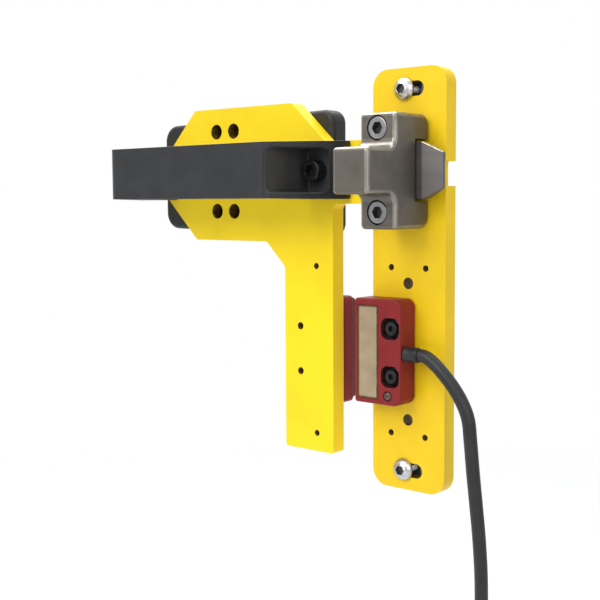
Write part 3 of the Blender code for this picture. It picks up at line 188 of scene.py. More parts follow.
def make_finishes():
    rgb = to_linear
    return {
        "paint": finish("yellow_powder_coat", [rgb(240, 208, 12), rgb(245, 213, 15), rgb(248, 217, 18)], 40,
                        (0.38, 0.5), grain=900, bump=0.12, depth=0.12,
                        specks=(900, 0.03, rgb(226, 186, 20)), specular=0.35),
        # lighter yellow on every rounded edge: partly worn paint, partly painted highlight
        "paint_edge_highlight": finish("yellow_worn_edge_and_highlight", [rgb(238, 200, 20), rgb(248, 214, 40), rgb(250, 222, 70)],
                             240,
                             (0.32, 0.45), grain=1200, bump=0.15, depth=0.1,
                             specks=(700, 0.08, rgb(196, 164, 60))),
        # painted shade: a darker, more orange copy of the yellow coat, standing in for the shade on the
        # recessed frame plate
        "paint_frame_shade": finish("yellow_coat_painted_shade",
                              [rgb(226, 189, 12), rgb(231, 194, 15), rgb(236, 199, 18)], 40,
                              (0.38, 0.5), grain=900, bump=0.12, depth=0.12,
                              specks=(900, 0.03, rgb(218, 176, 20)),
                              specular=0.35),
        # painted shade: dark brown for the walls of holes and slots, where shade falls
        "bore": finish("bore_wall_painted_shade", [rgb(74, 54, 22), rgb(104, 80, 30), rgb(140, 112, 40)], 500,
                       (0.45, 0.7), metallic=0.2, grain=2500, bump=0.2, depth=0.08),
        "cast": finish("grey_casting", [rgb(94, 89, 84), rgb(101, 96, 90), rgb(107, 101, 94)], 90,
                       (0.36, 0.48), metallic=0.8, grain=2600, bump=0.22, depth=0.08,
                       specks=(1500, 0.1, rgb(98, 93, 87))),
        # lighter casting on every rounded edge: partly burnished metal, partly painted highlight
        "cast_edge_highlight": finish("burnished_casting_and_highlight",
                            [rgb(118, 113, 107), rgb(134, 129, 122), rgb(148, 142, 134)], 120,
                            (0.3, 0.4), metallic=0.9, grain=2400, bump=0.15, depth=0.06),
        # painted highlight: a lighter casting for faces that look upwards, where the overhead light falls
        "cast_top_highlight": finish("casting_top_painted_highlight",
                           [rgb(150, 145, 138), rgb(162, 157, 149), rgb(172, 166, 158)], 120,
                           (0.28, 0.36), metallic=0.95, grain=2400, bump=0.12, depth=0.05),
        "tongue": finish("milled_bar", [rgb(98, 95, 93), rgb(104, 100, 98), rgb(110, 106, 103)], 60,
                         (0.36, 0.46), metallic=0.8, grain=1600, bump=0.12, depth=0.04,
                         stretch=(0.4, 1, 4)),
        # painted highlight: very bright steel for the tongue's faces that look upwards
        "tongue_top_highlight": finish("milled_top_painted_highlight", [rgb(160, 156, 150), rgb(200, 196, 190), rgb(226, 222, 216)],
                              500,
                              (0.2, 0.3), metallic=1.0, grain=2200, bump=0.08, depth=0.05),
        "bright": finish("bright_plated_steel",
                         [rgb(176, 176, 180), rgb(188, 188, 192), rgb(200, 200, 204)], 300,
                         (0.24, 0.32), metallic=1.0, grain=2800, bump=0.04, depth=0.03),
        # painted shade: a darker copy of the bright screw steel, for the screws deep in the keeper's
        # counterbores
        "cap_steel": finish("plated_steel_painted_shade",
                            [rgb(132, 132, 134), rgb(146, 146, 149), rgb(158, 158, 161)], 300,
                            (0.26, 0.36), metallic=1.0, grain=2800, bump=0.05, depth=0.03),
        # painted shade: darker metal for the walls of the hex sockets
        "socket": finish("socket_wall_painted_shade", [rgb(70, 70, 71), rgb(84, 84, 85), rgb(98, 98, 99)], 900,
                         (0.35, 0.5), metallic=0.7, grain=2800, bump=0.1, depth=0.04),
        "oxide": finish("black_oxide_steel", [rgb(26, 26, 26), rgb(40, 40, 40), rgb(52, 52, 51)], 500,
                        (0.28, 0.42), metallic=0.6, grain=3000, bump=0.12, depth=0.05),
        "nylon": finish("black_grained_nylon", [rgb(34, 35, 38), rgb(38, 39, 42), rgb(43, 44, 47)], 70,
                        (0.38, 0.5), grain=2600, bump=0.25, depth=0.08,
                        specks=(1300, 0.05, rgb(54, 56, 60)), specular=0.32),
        # painted highlight: lighter nylon for the handle's faces that slope upwards
        "nylon_top_highlight": finish("black_nylon_top_painted_highlight", [rgb(60, 61, 65), rgb(66, 67, 71), rgb(72, 73, 77)], 70,
                             (0.32, 0.42), grain=2600, bump=0.2, depth=0.06, specular=0.5),
        # painted light: a lighter copy of the black nylon for the pocket walls and floor
        "pocket": finish("black_pocket_wall_painted_light", [rgb(50, 51, 52), rgb(56, 57, 58), rgb(62, 63, 64)], 70,
                         (0.36, 0.46), grain=2600, bump=0.2, depth=0.08, specular=0.4),
        "guide": finish("black_moulding", [rgb(22, 22, 22), rgb(26, 26, 26), rgb(30, 30, 30)], 60,
                        (0.4, 0.5), grain=2200, bump=0.2, depth=0.08, specular=0.35),
        "red": finish("dark_red_moulding", [rgb(118, 30, 32), rgb(127, 34, 36), rgb(134, 38, 40)], 90,
                      (0.36, 0.48), grain=2400, bump=0.2, depth=0.08,
                      specks=(1400, 0.04, rgb(114, 34, 36)), specular=0.22),
        # painted shade: a darker red for the actuator's set-in back half
        "red_base_shade": finish("dark_red_painted_shade", [rgb(82, 42, 40), rgb(90, 47, 44), rgb(98, 52, 48)], 110,
                           (0.4, 0.5), grain=2200, bump=0.2, depth=0.08, specular=0.35),
        "recess": finish("shaded_recess", [rgb(52, 26, 25), rgb(60, 31, 29), rgb(68, 36, 33)], 200,
                         (0.45, 0.6), grain=2200, bump=0.15, depth=0.06, specular=0.25),
        "label": finish("blank_foil", [rgb(142, 124, 98), rgb(152, 133, 106), rgb(160, 142, 115)], 160,
                        (0.3, 0.45), grain=2000, bump=0.06, depth=0.05,
                        specks=(900, 0.05, rgb(176, 152, 118))),
        "label_edge": finish("foil_border", [rgb(72, 62, 34), rgb(92, 80, 44), rgb(112, 98, 52)], 300,
                             (0.4, 0.5), grain=2000, bump=0.1, depth=0.05),
        "lens": finish("smoked_lens", [rgb(62, 42, 32), rgb(74, 52, 40), rgb(84, 62, 50)], 900,
                       (0.12, 0.25), grain=3000, bump=0.05, depth=0.03, coat=0.3),
        "jacket": finish("black_cable_jacket", [rgb(24, 25, 26), rgb(29, 30, 31), rgb(34, 35, 36)], 120,
                         (0.36, 0.5), grain=2400, bump=0.2, depth=0.08, specular=0.35, sheen=0.04),
        "zinc": finish("zinc_plating", [rgb(158, 160, 162), rgb(166, 168, 169), rgb(174, 175, 174)], 120,
                       (0.28, 0.45), metallic=0.9, grain=2400, bump=0.12, depth=0.05,
                       specks=(800, 0.04, rgb(150, 149, 144))),
        "acetal": finish("off_white_runner", [rgb(214, 212, 204), rgb(224, 222, 214), rgb(232, 230, 222)],
                         120,
                         (0.35, 0.5), grain=1800, bump=0.12, depth=0.08,
                         specks=(600, 0.05, rgb(196, 192, 182))),
    }


# Shape helpers, as in the drawing of the solids
def rounded(corners, steps=10):
    """Outline points through (x, z, radius) corners, each rounded by an arc of its radius."""
    points = []
    count = len(corners)
    for index, (x, z, radius) in enumerate(corners):
        here = Vector((x, z))
        if radius <= 0:
            points.append(here)
            continue
        before = Vector(corners[index - 1][:2]) - here
        after = Vector(corners[(index + 1) % count][:2]) - here
        limit = 0.49 * min(before.length, after.length)
        before.normalize()
        after.normalize()
        half = before.angle(after) / 2
        reach = min(radius / math.tan(half), limit)
        bend = reach * math.tan(half)
        middle = here + (before + after).normalized() * (bend / math.sin(half))
        start = here + before * reach - middle
        end = here + after * reach - middle
        sweep = start.angle_signed(end)
        for step in range(steps + 1):
            turned_by = start.copy()
            turned_by.rotate(Matrix.Rotation(-sweep * step / steps, 2))
            points.append(middle + turned_by)
    return points


def box(left, right, low, high, radius=0.0, steps=8):
    corners = [(left, low, radius), (right, low, radius), (right, high, radius), (left, high, radius)]
    return rounded(corners, steps)


def ring(x, z, diameter, sides=48):
    turn = 2 * math.pi / sides
    reach = diameter / 2
    return [(x + reach * math.cos(turn * i), z + reach * math.sin(turn * i)) for i in range(sides)]


def slot_shape(x, z, length, width):
    return box(x - length / 2, x + length / 2, z - width / 2, z + width / 2, width / 2 - 0.001, 14)


def prism(outline, near, far, axis="Y"):
    """A solid from an outline, extruded along one axis between two places."""
    shape = bmesh.new()
    spots = {
        "X": lambda p: (near, p[0], p[1]),
        "Y": lambda p: (p[0], near, p[1]),
        "Z": lambda p: (p[0], p[1], near),
    }[axis]
    face = shape.faces.new([shape.verts.new(spots(point)) for point in outline])
    grown = bmesh.ops.extrude_face_region(shape, geom=[face])
    moved = [item for item in grown["geom"] if isinstance(item, bmesh.types.BMVert)]
    push = Vector([far - near if letter == axis else 0 for letter in "XYZ"])
    bmesh.ops.translate(shape, verts=moved, vec=push)
    return shape


def turned(profile, sides=48, groove=None):
    """A turned solid about local Z from (radius, height) points.

    groove(angle, radius, height), where there is one, gives the radius at each point.
    """
    shape = bmesh.new()
    rings = []
    for radius, height in profile:
        if radius == 0:
            rings.append([shape.verts.new((0, 0, height))])
            continue
        spots = []
        for i in range(sides):
            angle = 2 * math.pi * i / sides
            r = groove(angle, radius, height) if groove else radius
            spots.append(shape.verts.new((r * math.cos(angle), r * math.sin(angle), height)))
        rings.append(spots)
    for low, high in zip(rings, rings[1:]):
        for i in range(sides):
            j = (i + 1) % sides
            if len(low) == 1:
                shape.faces.new((low[0], high[i], high[j]))
            elif len(high) == 1:
                shape.faces.new((low[i], low[j], high[0]))
            else:
                shape.faces.new((low[i], low[j], high[j], high[i]))
    return shape


def arc(centre, radius, start, end, steps=5):
    """Profile points along an arc, angles in degrees, from the axis outwards."""
    spots = [math.radians(start + (end - start) * i / steps) for i in range(steps + 1)]
    return [(centre[0] + radius * math.cos(a), centre[1] + radius * math.sin(a)) for a in spots]


TO_VIEWER = (math.radians(90), 0, 0)
TO_BACK = (math.radians(-90), 0, 0)
TO_RIGHT = (0, math.radians(90), 0)
DOWNWARD = (math.radians(180), 0, 0)


def new_mesh(shape, name, index=0):
    bmesh.ops.recalc_face_normals(shape, faces=shape.faces)
    for face in shape.faces:
        face.material_index = index
    mesh = bpy.data.meshes.new(name)
    shape.to_mesh(mesh)
    shape.free()
    mesh.transform(Matrix.Scale(MM, 4))
    return mesh


def piece(name, shape, *finishes, at=(0, 0, 0), turn=(0, 0, 0)):
    thing = bpy.data.objects.new(name, new_mesh(shape, name))
    thing.location = Vector(at) * MM
    thing.rotation_euler = turn
    for key in finishes:
        thing.data.materials.append(FINISH[key])
    scene.collection.objects.link(thing)
    return thing


def cut(thing, shape, index=0, at=(0, 0, 0), turn=(0, 0, 0), operation="DIFFERENCE"):
    """Take a shape out of a piece, or add it. index is the piece's finish that the new faces take."""
    cutter = bpy.data.objects.new("cutter", new_mesh(shape, "cutter", index))
    for material in thing.data.materials:
        cutter.data.materials.append(material)
    cutter.location = Vector(at) * MM
    cutter.rotation_euler = turn
    scene.collection.objects.link(cutter)
    taken = thing.modifiers.new("cut", "BOOLEAN")
    taken.operation = operation
    taken.solver = "EXACT"
    taken.material_mode = "INDEX"
    taken.object = cutter


def soften(thing, width, segments=3, angle=40, index=-1, clamp=True):
    rim = thing.modifiers.new("soft edges", "BEVEL")
    rim.width = width * MM
    rim.segments = segments
    rim.limit_method = "ANGLE"
    rim.angle_limit = math.radians(angle)
    rim.material = index
    rim.use_clamp_overlap = clamp


def settle(thing, body, slot, *replaced):
    """Apply the cuts and edges, shade the piece, and say what it rides on and stands for."""
    cutters = [m.object for m in thing.modifiers if m.type == "BOOLEAN"]
    applied(thing)
    for cutter in cutters:
        bpy.data.objects.remove(cutter, do_unlink=True)
    thing.data.shade_smooth()
    thing.data.set_sharp_from_angle(angle=math.radians(38))
    even = thing.modifiers.new("even", "WEIGHTED_NORMAL")
    even.keep_sharp = True
    applied(thing)
    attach(thing, body)
    if replaced:
        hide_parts(*replaced)
    return thing


def applied(thing):
    bpy.context.view_layer.update()
    made = thing.evaluated_get(bpy.context.evaluated_depsgraph_get())
    mesh = bpy.data.meshes.new_from_object(made)
    mesh.name = thing.name
    thing.modifiers.clear()
    thing.data = mesh


# Faces that pieces seat on, from the profile's face outwards
PLATE_FACE, GUIDE_FACE, BOLT_BACK, BOLT_FACE = -8.0, -11.2, -11.5, -19.5
EAR_FACE, NOSE_FACE, TONGUE_FACE, SLOT_FACE = -34.3, -54.3, -19.0, -19.8
SENSOR_SEAT, SENSOR_FACE = -8.3, -20.5
HANDLE_SEAT = BOLT_FACE - 0.3

# Outlines and screw places, seen from the front
PLATE_HALF, PLATE_LOW, PLATE_TOP = 20, -147.5, 46.5
PLATE_SLOTS = (37, -138)
SPARE_Z = -82.7
KEEPER_X, KEEPER_SCREW_Z = 1.5, 18.25
KEEPER_LEFT, KEEPER_RIGHT = -7.75, 11.55
KEEPER_LOW, KEEPER_TOP = -25.7, 24.9
NOSE_LOW, NOSE_TOP = -10.4, 9.6
SLOT_HALF = 13.8
SENSOR_LEFT, SENSOR_RIGHT, SENSOR_Z, SENSOR_HALF = -21.5, 4.3, -82.0, 24.3
SENSOR_SCREW_X = -1.4
SENSOR_SCREWS = (-71, -93)
LENS_X, LENS_DROP = -2.7, 20
CHANNEL_LEFT, CHANNEL_RIGHT = -149.1, -66.5
TAB_HALF = 14.5
OCTAGON_LOW, OCTAGON_TOP = -32.95, 33.65
LEG_LEFT, LEG_RIGHT, LEG_LOW = -65, -35, -133.7
CARRIAGE_X, CARRIAGE_SCREW = -89.8, 13
TONGUE_SCREW_X, TONGUE_SCREW = -19.05, 6
TONGUE_HALF = 12.5
HANDLE_MIDDLE, HANDLE_LIFT, HANDLE_SCREW = -94.8, 0.7, 58.5
ACTUATOR_Z, ACTUATOR_SCREW_X, ACTUATOR_SCREW = -84.4, -55.2, 11


def drill(thing, x, z, diameter, near, far, index=1, sides=48):
    cut(thing, prism(ring(x, z, diameter, sides), near, far), index)


# Sensor lead: the same knots as the solid lead, then its sleeve and plug
CABLE_KNOTS = [
    (2, 0, 0), (6, 0, -1.9), (12, 0, -6.8), (17.4, 0.2, -12.6), (21.7, 0.4, -18.8), (24.7, 0.7, -26),
    (25.8, 1, -36), (27, 1.4, -50), (28.4, 1.8, -64), (29.8, 2.1, -78), (30.8, 2.4, -94),
    (31.1, 2.6, -112), (31.2, 2.7, -132), (31.2, 2.7, -152), (31.2, 2.7, -172), (31.2, 2.7, -182),
]
CABLE_START = Vector((12.4, -16.3, -82.4))
CABLE_DIAMETER = 6.0


def cable_line(spacing):
    knots = [CABLE_START] + [CABLE_START + Vector(step) for step in CABLE_KNOTS]
    fine = []
    for i in range(len(knots) - 1):
        before, after = knots[max(i - 1, 0)], knots[min(i + 2, len(knots) - 1)]
        here, there = knots[i], knots[i + 1]
        steps = max(2, round((there - here).length / spacing))
        for step in range(steps):
            t = step / steps
            lead, trail = (there - before) * 0.5, (after - here) * 0.5
            bend = here * (2 * t**3 - 3 * t**2 + 1) + lead * (t**3 - 2 * t**2 + t)
            fine.append(bend + there * (-2 * t**3 + 3 * t**2) + trail * (t**3 - t**2))
    return fine + [knots[-1]]


def make_cable():
    line = bpy.data.curves.new("fine_cable", "CURVE")
    line.dimensions = "3D"
    line.bevel_depth = CABLE_DIAMETER / 2 * MM
    line.bevel_resolution = 8
    line.use_fill_caps = True
    points = cable_line(2.0)
    spline = line.splines.new("POLY")
    spline.points.add(len(points) - 1)
    for spot, point in zip(spline.points, points):
        spot.co = (*(point * MM), 1)
    spline.use_smooth = True
    line.materials.append(FINISH["jacket"])
    cable = bpy.data.objects.new("fine_cable", line)
    scene.collection.objects.link(cable)
    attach(cable, "frame_side")
    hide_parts("sensor_cable")
    return cable, points[-1]


def make_sleeve():
    """Sleeve where the lead leaves the sensor: a collar, a slim waist and a rolled lip."""
    profile = [(0, -3), (2.5, -3), (2.5, 0.3), (3.3, 0.3)]
    profile += arc((3.2, 0.9), 0.5, -60, 60)
    profile += [(3.45, 1.8), (3.3, 2.6), (3.35, 4.2), (3.45, 5.4)]
    profile += arc((3.1, 6.6), 0.45, -30, 80)
    profile += [(3.1, 7.6), (0, 7.8)]
    foot = CABLE_START - Vector((8.1, 0, 0))
    sleeve = piece("fine_sleeve", turned(profile), "jacket", at=foot, turn=TO_RIGHT)
    settle(sleeve, "frame_side", "cable_black", "strain_relief")


def make_plug(end):
    """Moulded grip with finger ridges, knurled coupling nut and the pin carrier."""
    at = end - Vector((0, 0, 0.3))

    def ridges(angle, radius, height):
        return radius - 0.35 * (0.5 + 0.5 * math.cos(12 * angle)) if 11 < height < 23 else radius

    grip = [(0, 0), (3.6, 0), (3.8, 0.3), (4.0, 3), (4.1, 5.4), (4.5, 9), (5.0, 10.8), (5.4, 11.5)]
    grip += [(5.5, 12.4), (5.5, 22.6), (5.3, 23.6), (5.0, 24), (4.1, 24), (4.1, 33), (0, 33)]
    body = piece("fine_plug_body", turned(grip, 96, ridges), "jacket", at=at, turn=DOWNWARD)
    settle(body, "frame_side", "cable_black", "plug_body")

    def knurl(angle, radius, height):
        if radius < 6.5 or not 25.2 < height < 36.2:
            return radius
        return radius - 0.3 * (0.5 + 0.5 * math.cos(32 * angle))

    nut_ring = [(4.4, 24.3), (6.7, 24.3), (7.2, 24.8), (7.25, 25.4), (7.25, 36), (7.1, 36.8)]
    nut_ring += [(6.7, 37.3), (5.65, 37.3), (5.65, 28.85), (4.4, 28.85), (4.4, 24.3)]
    nut = piece("fine_plug_nut", turned(nut_ring, 128, knurl), "zinc", at=at, turn=DOWNWARD)
    settle(nut, "frame_side", "zinc", "plug_nut")
    disc = turned([(0, 33.3), (3.5, 33.3), (3.5, 34.1), (3.3, 34.3), (0, 34.3)])
    carrier = piece("fine_plug_pins", disc, "jacket", "bright", at=at, turn=DOWNWARD)
    for i in range(4):
        angle = math.radians(45 + 90 * i)
        pin = turned([(0, 34), (0.5, 34), (0.5, 38.8), (0.25, 39.3), (0, 39.3)], 16)
        bmesh.ops.translate(pin, verts=pin.verts, vec=(2.2 * math.cos(angle), 2.2 * math.sin(angle), 0))
        cut(carrier, pin, 1, at=at, turn=DOWNWARD, operation="UNION")
    settle(carrier, "frame_side", "zinc", "plug_pins")
    return [body, nut, carrier]


# Frame side
def make_frame_plate():
    outline = box(-PLATE_HALF, PLATE_HALF, PLATE_LOW, PLATE_TOP, 8, 12)
    # The frame plate takes the darker copy of the yellow coat: painted shade
    plate = piece("fine_frame_plate", prism(outline, 0, PLATE_FACE), "paint_frame_shade", "bore", "paint_edge_highlight")
    near, far = PLATE_FACE - 1, 1
    # Slots and holes below take the dark brown bore walls: painted shade
    for z in PLATE_SLOTS:
        cut(plate, prism(slot_shape(0, z, 16, 6.8), near, far), 1)
    for z in (KEEPER_SCREW_Z, -KEEPER_SCREW_Z):
        drill(plate, KEEPER_X, z, 5.6, near, far)
    for z in SENSOR_SCREWS:
        drill(plate, SENSOR_SCREW_X, z, 3.6, near, far, sides=24)
    for side in (-1, 1):
        drill(plate, 0, SPARE_Z + side * 31.75, 5.4, near, far)
        for x in (-9.5, 9.5):
            drill(plate, x, SPARE_Z + side * 38.85, 3.0, near, far, sides=24)
    cut(plate, prism(box(16, 21, -6.8, 4.2, 0.8), near, far), 0)
    # Rounded edges take the lighter yellow: worn paint and painted highlight
    soften(plate, 0.6, 3, index=2)
    settle(plate, "frame_side", "yellow_paint", "frame_plate")


def make_keeper():
    """Cast T with edges burnished and painted lighter as highlight, upward faces painted lighter as
    highlight, two counterbores and the slot that the tongue passes.
    """
    side = [
        (SENSOR_SEAT, KEEPER_LOW, 5), (SENSOR_SEAT, KEEPER_TOP, 5),
        (EAR_FACE, KEEPER_TOP, 2), (EAR_FACE, NOSE_TOP, 4.5), (NOSE_FACE, NOSE_TOP, 2),
        (NOSE_FACE, NOSE_LOW, 2), (EAR_FACE, NOSE_LOW, 4.5), (EAR_FACE, KEEPER_LOW, 2),
    ]
    block = prism(rounded(side), KEEPER_LEFT, KEEPER_RIGHT, "X")
    keeper = piece("fine_keeper", block, "cast", "cast_edge_highlight", "cast_top_highlight")
    # The rounded edges take the lighter casting: burnish and painted highlight
    soften(keeper, 1.8, 5, index=1)
    behind = PLATE_FACE + 0.7
    opening = rounded([
        (behind, -SLOT_HALF, 0), (behind, SLOT_HALF, 0),
        (SLOT_FACE, SLOT_HALF, 1), (SLOT_FACE, -SLOT_HALF, 1),
    ], 6)
    cut(keeper, prism(opening, -9, 13, "X"), 0)
    seat = EAR_FACE + 6.5
    for z in (KEEPER_SCREW_Z, -KEEPER_SCREW_Z):
        drill(keeper, KEEPER_X, z, 10.8, NOSE_FACE, seat, 0)
        drill(keeper, KEEPER_X, z, 6.6, seat - 1, -7, 0)
    bore = turned([(0, -1), (5.5, -1), (5.5, 4), (4, 4), (4, 24), (0, 25)])
    cut(keeper, bore, 0, at=(KEEPER_X, SLOT_FACE, 0), turn=TO_VIEWER)
    soften(keeper, 0.22, 2, 55, clamp=False)
    settle(keeper, "frame_side", "cast_metal", "keeper_block")
    # Faces that look upwards, away from the screws and the plunger, take the lighter casting: painted
    # highlight
    for face in keeper.data.polygons:
        spot = face.center / MM
        by_screw = math.hypot(spot.x - KEEPER_X, abs(spot.z) - KEEPER_SCREW_Z) < 5.8
        by_plunger = math.hypot(spot.x - KEEPER_X, spot.z) <= 5.6
        if face.normal.z > 0.5 and spot.y < SLOT_FACE - 0.5 and not by_screw and not by_plunger:
            face.material_index = 2


def make_sensor():
    """Moulded housing with square screw recesses, a sunk label, a lens and the lead's exit."""
    low, high = SENSOR_Z - SENSOR_HALF, SENSOR_Z + SENSOR_HALF
    outline = rounded([
        (SENSOR_LEFT, low, 1.5), (SENSOR_RIGHT, low, 4), (SENSOR_RIGHT, high, 4), (SENSOR_LEFT, high, 1.5),
    ])
    body = piece("fine_sensor", prism(outline, SENSOR_SEAT, SENSOR_FACE), "red", "recess")
    soften(body, 0.9, 4)
    seat = SENSOR_FACE + 4
    for z in SENSOR_SCREWS:
        recess = box(SENSOR_SCREW_X - 4.9, SENSOR_SCREW_X + 4.9, z - 4.9, z + 4.9, 3.4)
        cut(body, prism(recess, SENSOR_FACE - 1, seat), 1)
        drill(body, SENSOR_SCREW_X, z, 4.6, seat - 1, -7, 1, 24)
    cut(body, prism(box(-19.6, -8.1, -104.1, -60.7, 0.8), SENSOR_FACE - 1, SENSOR_FACE + 0.61))
    drill(body, LENS_X, SENSOR_Z - LENS_DROP, 4.6, SENSOR_FACE - 1, SENSOR_FACE + 2.6, 0)
    hollow = turned([(0, -3.3), (2.8, -3.3), (2.8, 1), (0, 1)])
    cut(body, hollow, 0, at=(SENSOR_RIGHT, CABLE_START.y, CABLE_START.z), turn=TO_RIGHT)
    soften(body, 0.25, 2, 50, clamp=False)
    settle(body, "frame_side", "sensor_red", "sensor_body")
    field = box(-19.3, -8.4, -103.8, -61.0, 1.0)
    label = piece("fine_label", prism(field, SENSOR_FACE + 0.31, SENSOR_FACE + 0.08), "label_edge", "label")
    bare = box(-18.7, -9.0, -103.1, -61.7, 0.8)
    cut(label, prism(bare, SENSOR_FACE + 0.2, SENSOR_FACE + 0.06), 1, operation="UNION")
    settle(label, "frame_side", "label_foil", "blank_label")
    dome = [(0, -2.3), (2, -2.3), (2, -0.3)] + arc((0.9, -0.6), 1.1, 10, 80) + [(0, 0.5)]
    at = (LENS_X, SENSOR_FACE, SENSOR_Z - LENS_DROP)
    lens = piece("fine_lens", turned(dome, 32), "lens", at=at, turn=TO_VIEWER)
    settle(lens, "frame_side", "lens", "status_lens")


def make_guide():
    """Tapering body with the T-channel, the back plate's seat and the countersinks of its own screws."""
    corners = [(-159, -27.5, 8.5), (-41.3, -30.5, 6.5), (-41.3, 30.5, 6.5), (-159, 27.5, 8.5)]
    guide = piece("fine_guide", prism(rounded(corners, 12), 0, GUIDE_FACE), "guide")
    soften(guide, 2.4, 5)
    start, stop = CHANNEL_LEFT, CHANNEL_RIGHT
    cut(guide, prism(box(start, stop, -13.5, 13.5), 1, -6.9))
    cut(guide, prism(box(start, stop, -7.5, 7.5), -6, -12.2))
    cut(guide, prism(box(start - 3, stop + 3, -18, 18, 2), 1, -2.1))
    for z in (14, -14):
        seat = turned([(0, -13), (3.3, -13), (3.3, -3.4), (6, -0.3), (6, 1), (0, 1)])
        cut(guide, seat, 0, at=(-58, GUIDE_FACE, z), turn=TO_VIEWER)
    for z in (15.75, -15.75):
        drill(guide, (start + stop) / 2, z, 2.8, 0, -6.1, 0, 24)
    settle(guide, "frame_side", "guide_black", "guide_body")


# Moving side
def make_bolt_plate():
    """Octagon with a tab at each side and the leg below, all cut from one plate."""
    outline = rounded([
        (-8.05, TAB_HALF, 0), (-39.5, TAB_HALF, 1), (-60, OCTAGON_TOP, 3), (-126.3, OCTAGON_TOP, 3),
        (-144.8, TAB_HALF, 1.5), (-170, TAB_HALF, 3), (-170, -12.2, 3), (-147.1, -12.2, 1.5),
        (-126.3, OCTAGON_LOW, 3), (-77, OCTAGON_LOW, 2), (LEG_LEFT, -44.95, 2), (LEG_LEFT, LEG_LOW, 1.5),
        (LEG_RIGHT, LEG_LOW, 1.5), (LEG_RIGHT, -TAB_HALF, 3), (-8.05, -TAB_HALF, 0),
    ], 8)
    plate = piece("fine_bolt_plate", prism(outline, BOLT_BACK, BOLT_FACE), "paint", "bore", "paint_edge_highlight")
    near, far = BOLT_FACE - 1, BOLT_BACK + 1
    # Holes below take the dark brown bore walls: painted shade
    for up in (-1, 1):
        for x in (-110.9, -98.9):
            drill(plate, x, 2 + up * 20.1, 7.6, near, far)
        drill(plate, -45.1, ACTUATOR_Z + up * 40.4, 3.0, near, far, sides=24)
        drill(plate, ACTUATOR_SCREW_X, ACTUATOR_Z + up * ACTUATOR_SCREW, 3.6, near, far, sides=24)
        drill(plate, HANDLE_MIDDLE + up * HANDLE_SCREW, HANDLE_LIFT, 5.6, near, far, sides=32)
        seat = turned([(0, -9), (3.3, -9), (3.3, -3.4), (6, -0.3), (6, 1), (0, 1)])
        cut(plate, seat, 0, at=(CARRIAGE_X + up * CARRIAGE_SCREW, BOLT_FACE, 0), turn=TO_VIEWER)
        seat = turned([(0, -8), (2.3, -8), (2.3, -2.4), (4, -0.3), (4, 1), (0, 1)], 32)
        cut(plate, seat, 0, at=(TONGUE_SCREW_X + up * TONGUE_SCREW, BOLT_FACE, 0), turn=TO_VIEWER)
    cut(plate, prism(box(-30.35, -7, -20, 20), -15.5, -10.5), 0)
    # Rounded edges take the lighter yellow: worn paint and painted highlight
    soften(plate, 0.6, 3, index=2)
    settle(plate, "bolt", "yellow_paint", "bolt_plate")


def make_tongue():
    """Flat bar whose free end tapers on all four sides, half lapped at its other end."""
    sections = [
        (-30.05, TONGUE_FACE, BOLT_BACK, TONGUE_HALF),
        (14.55, TONGUE_FACE, BOLT_BACK, TONGUE_HALF),
        (23.75, -16.35, -14.15, 7.8),
    ]
    shape = bmesh.new()
    rings = []
    for x, front, back, half in sections:
        spots = [(x, front, -half), (x, back, -half), (x, back, half), (x, front, half)]
        rings.append([shape.verts.new(spot) for spot in spots])
    for low, high in zip(rings, rings[1:]):
        for i in range(4):
            j = (i + 1) % 4
            shape.faces.new((low[i], low[j], high[j], high[i]))
    shape.faces.new(rings[0])
    shape.faces.new(rings[-1])
    tongue = piece("fine_tongue", shape, "tongue", "tongue_top_highlight")
    soften(tongue, 0.45, 3, 15)
    cut(tongue, prism(box(-31, -7.75, -14, 14), -15.2, -20), 0)
    for x in (TONGUE_SCREW_X - TONGUE_SCREW, TONGUE_SCREW_X + TONGUE_SCREW):
        drill(tongue, x, 0, 3.6, -16, -11, 0, 24)
    settle(tongue, "bolt", "tongue_steel", "bolt_tongue")
    # Faces that look upwards take the bright steel: painted highlight
    for face in tongue.data.polygons:
        if face.normal.z > 0.55:
            face.material_index = 1


def make_handle():
    """Moulded bridge: a straight grip between two sloping arms, each with a screw pocket."""
    foot, front, inner, back = 70.5, 52.0, 45.7, 26.0
    half = [(inner, 0, 0), (foot, 0, 0), (foot, 3.5, 1.5), (front, 40, 7)]
    other = [(-x, y, r) for x, y, r in reversed(half)]
    arch = [(1 - inner, back, 7), (inner - 1, back, 7)]
    corners = [(HANDLE_MIDDLE + x, HANDLE_SEAT - y, r) for x, y, r in half + other + arch]
    low, high = HANDLE_LIFT - 13, HANDLE_LIFT + 13.6
    bridge = prism(rounded(corners, 12), low, high, "Z")
    handle = piece("fine_handle", bridge, "nylon", "pocket", "nylon_top_highlight")
    for edge, side, lean in ((low, -1, 0.6), (high, 1, 1.1)):
        draft = [
            (HANDLE_SEAT - 3.5, edge), (HANDLE_SEAT - 41, edge - side * lean),
            (HANDLE_SEAT - 41, edge + side), (HANDLE_SEAT - 3.5, edge + side),
        ]
        cut(handle, prism(draft, HANDLE_MIDDLE - foot - 1, HANDLE_MIDDLE + foot + 1, "X"))
    soften(handle, 2, 5, 30)
    floor = HANDLE_SEAT - 8.5
    for side in (-1, 1):
        x = HANDLE_MIDDLE + side * HANDLE_SCREW
        left, right = sorted((x - side * 6.3, x + side * 8.2))
        pocket = box(left, right, HANDLE_LIFT - 10, HANDLE_LIFT + 10.3, 2.5)
        # The pocket walls and floor take the lighter copy of the nylon: painted light
        cut(handle, prism(pocket, floor, HANDLE_SEAT - 41), 1)
        drill(handle, x, HANDLE_LIFT, 6.6, floor - 1, HANDLE_SEAT + 1, 0)
    soften(handle, 0.5, 3, 50, clamp=False)
    settle(handle, "bolt", "black_nylon", "handle")
    # Faces that slope upwards take the lighter nylon: painted highlight
    for face in handle.data.polygons:
        if 0.35 < face.normal.z < 0.97 and face.material_index == 0:
            face.material_index = 2


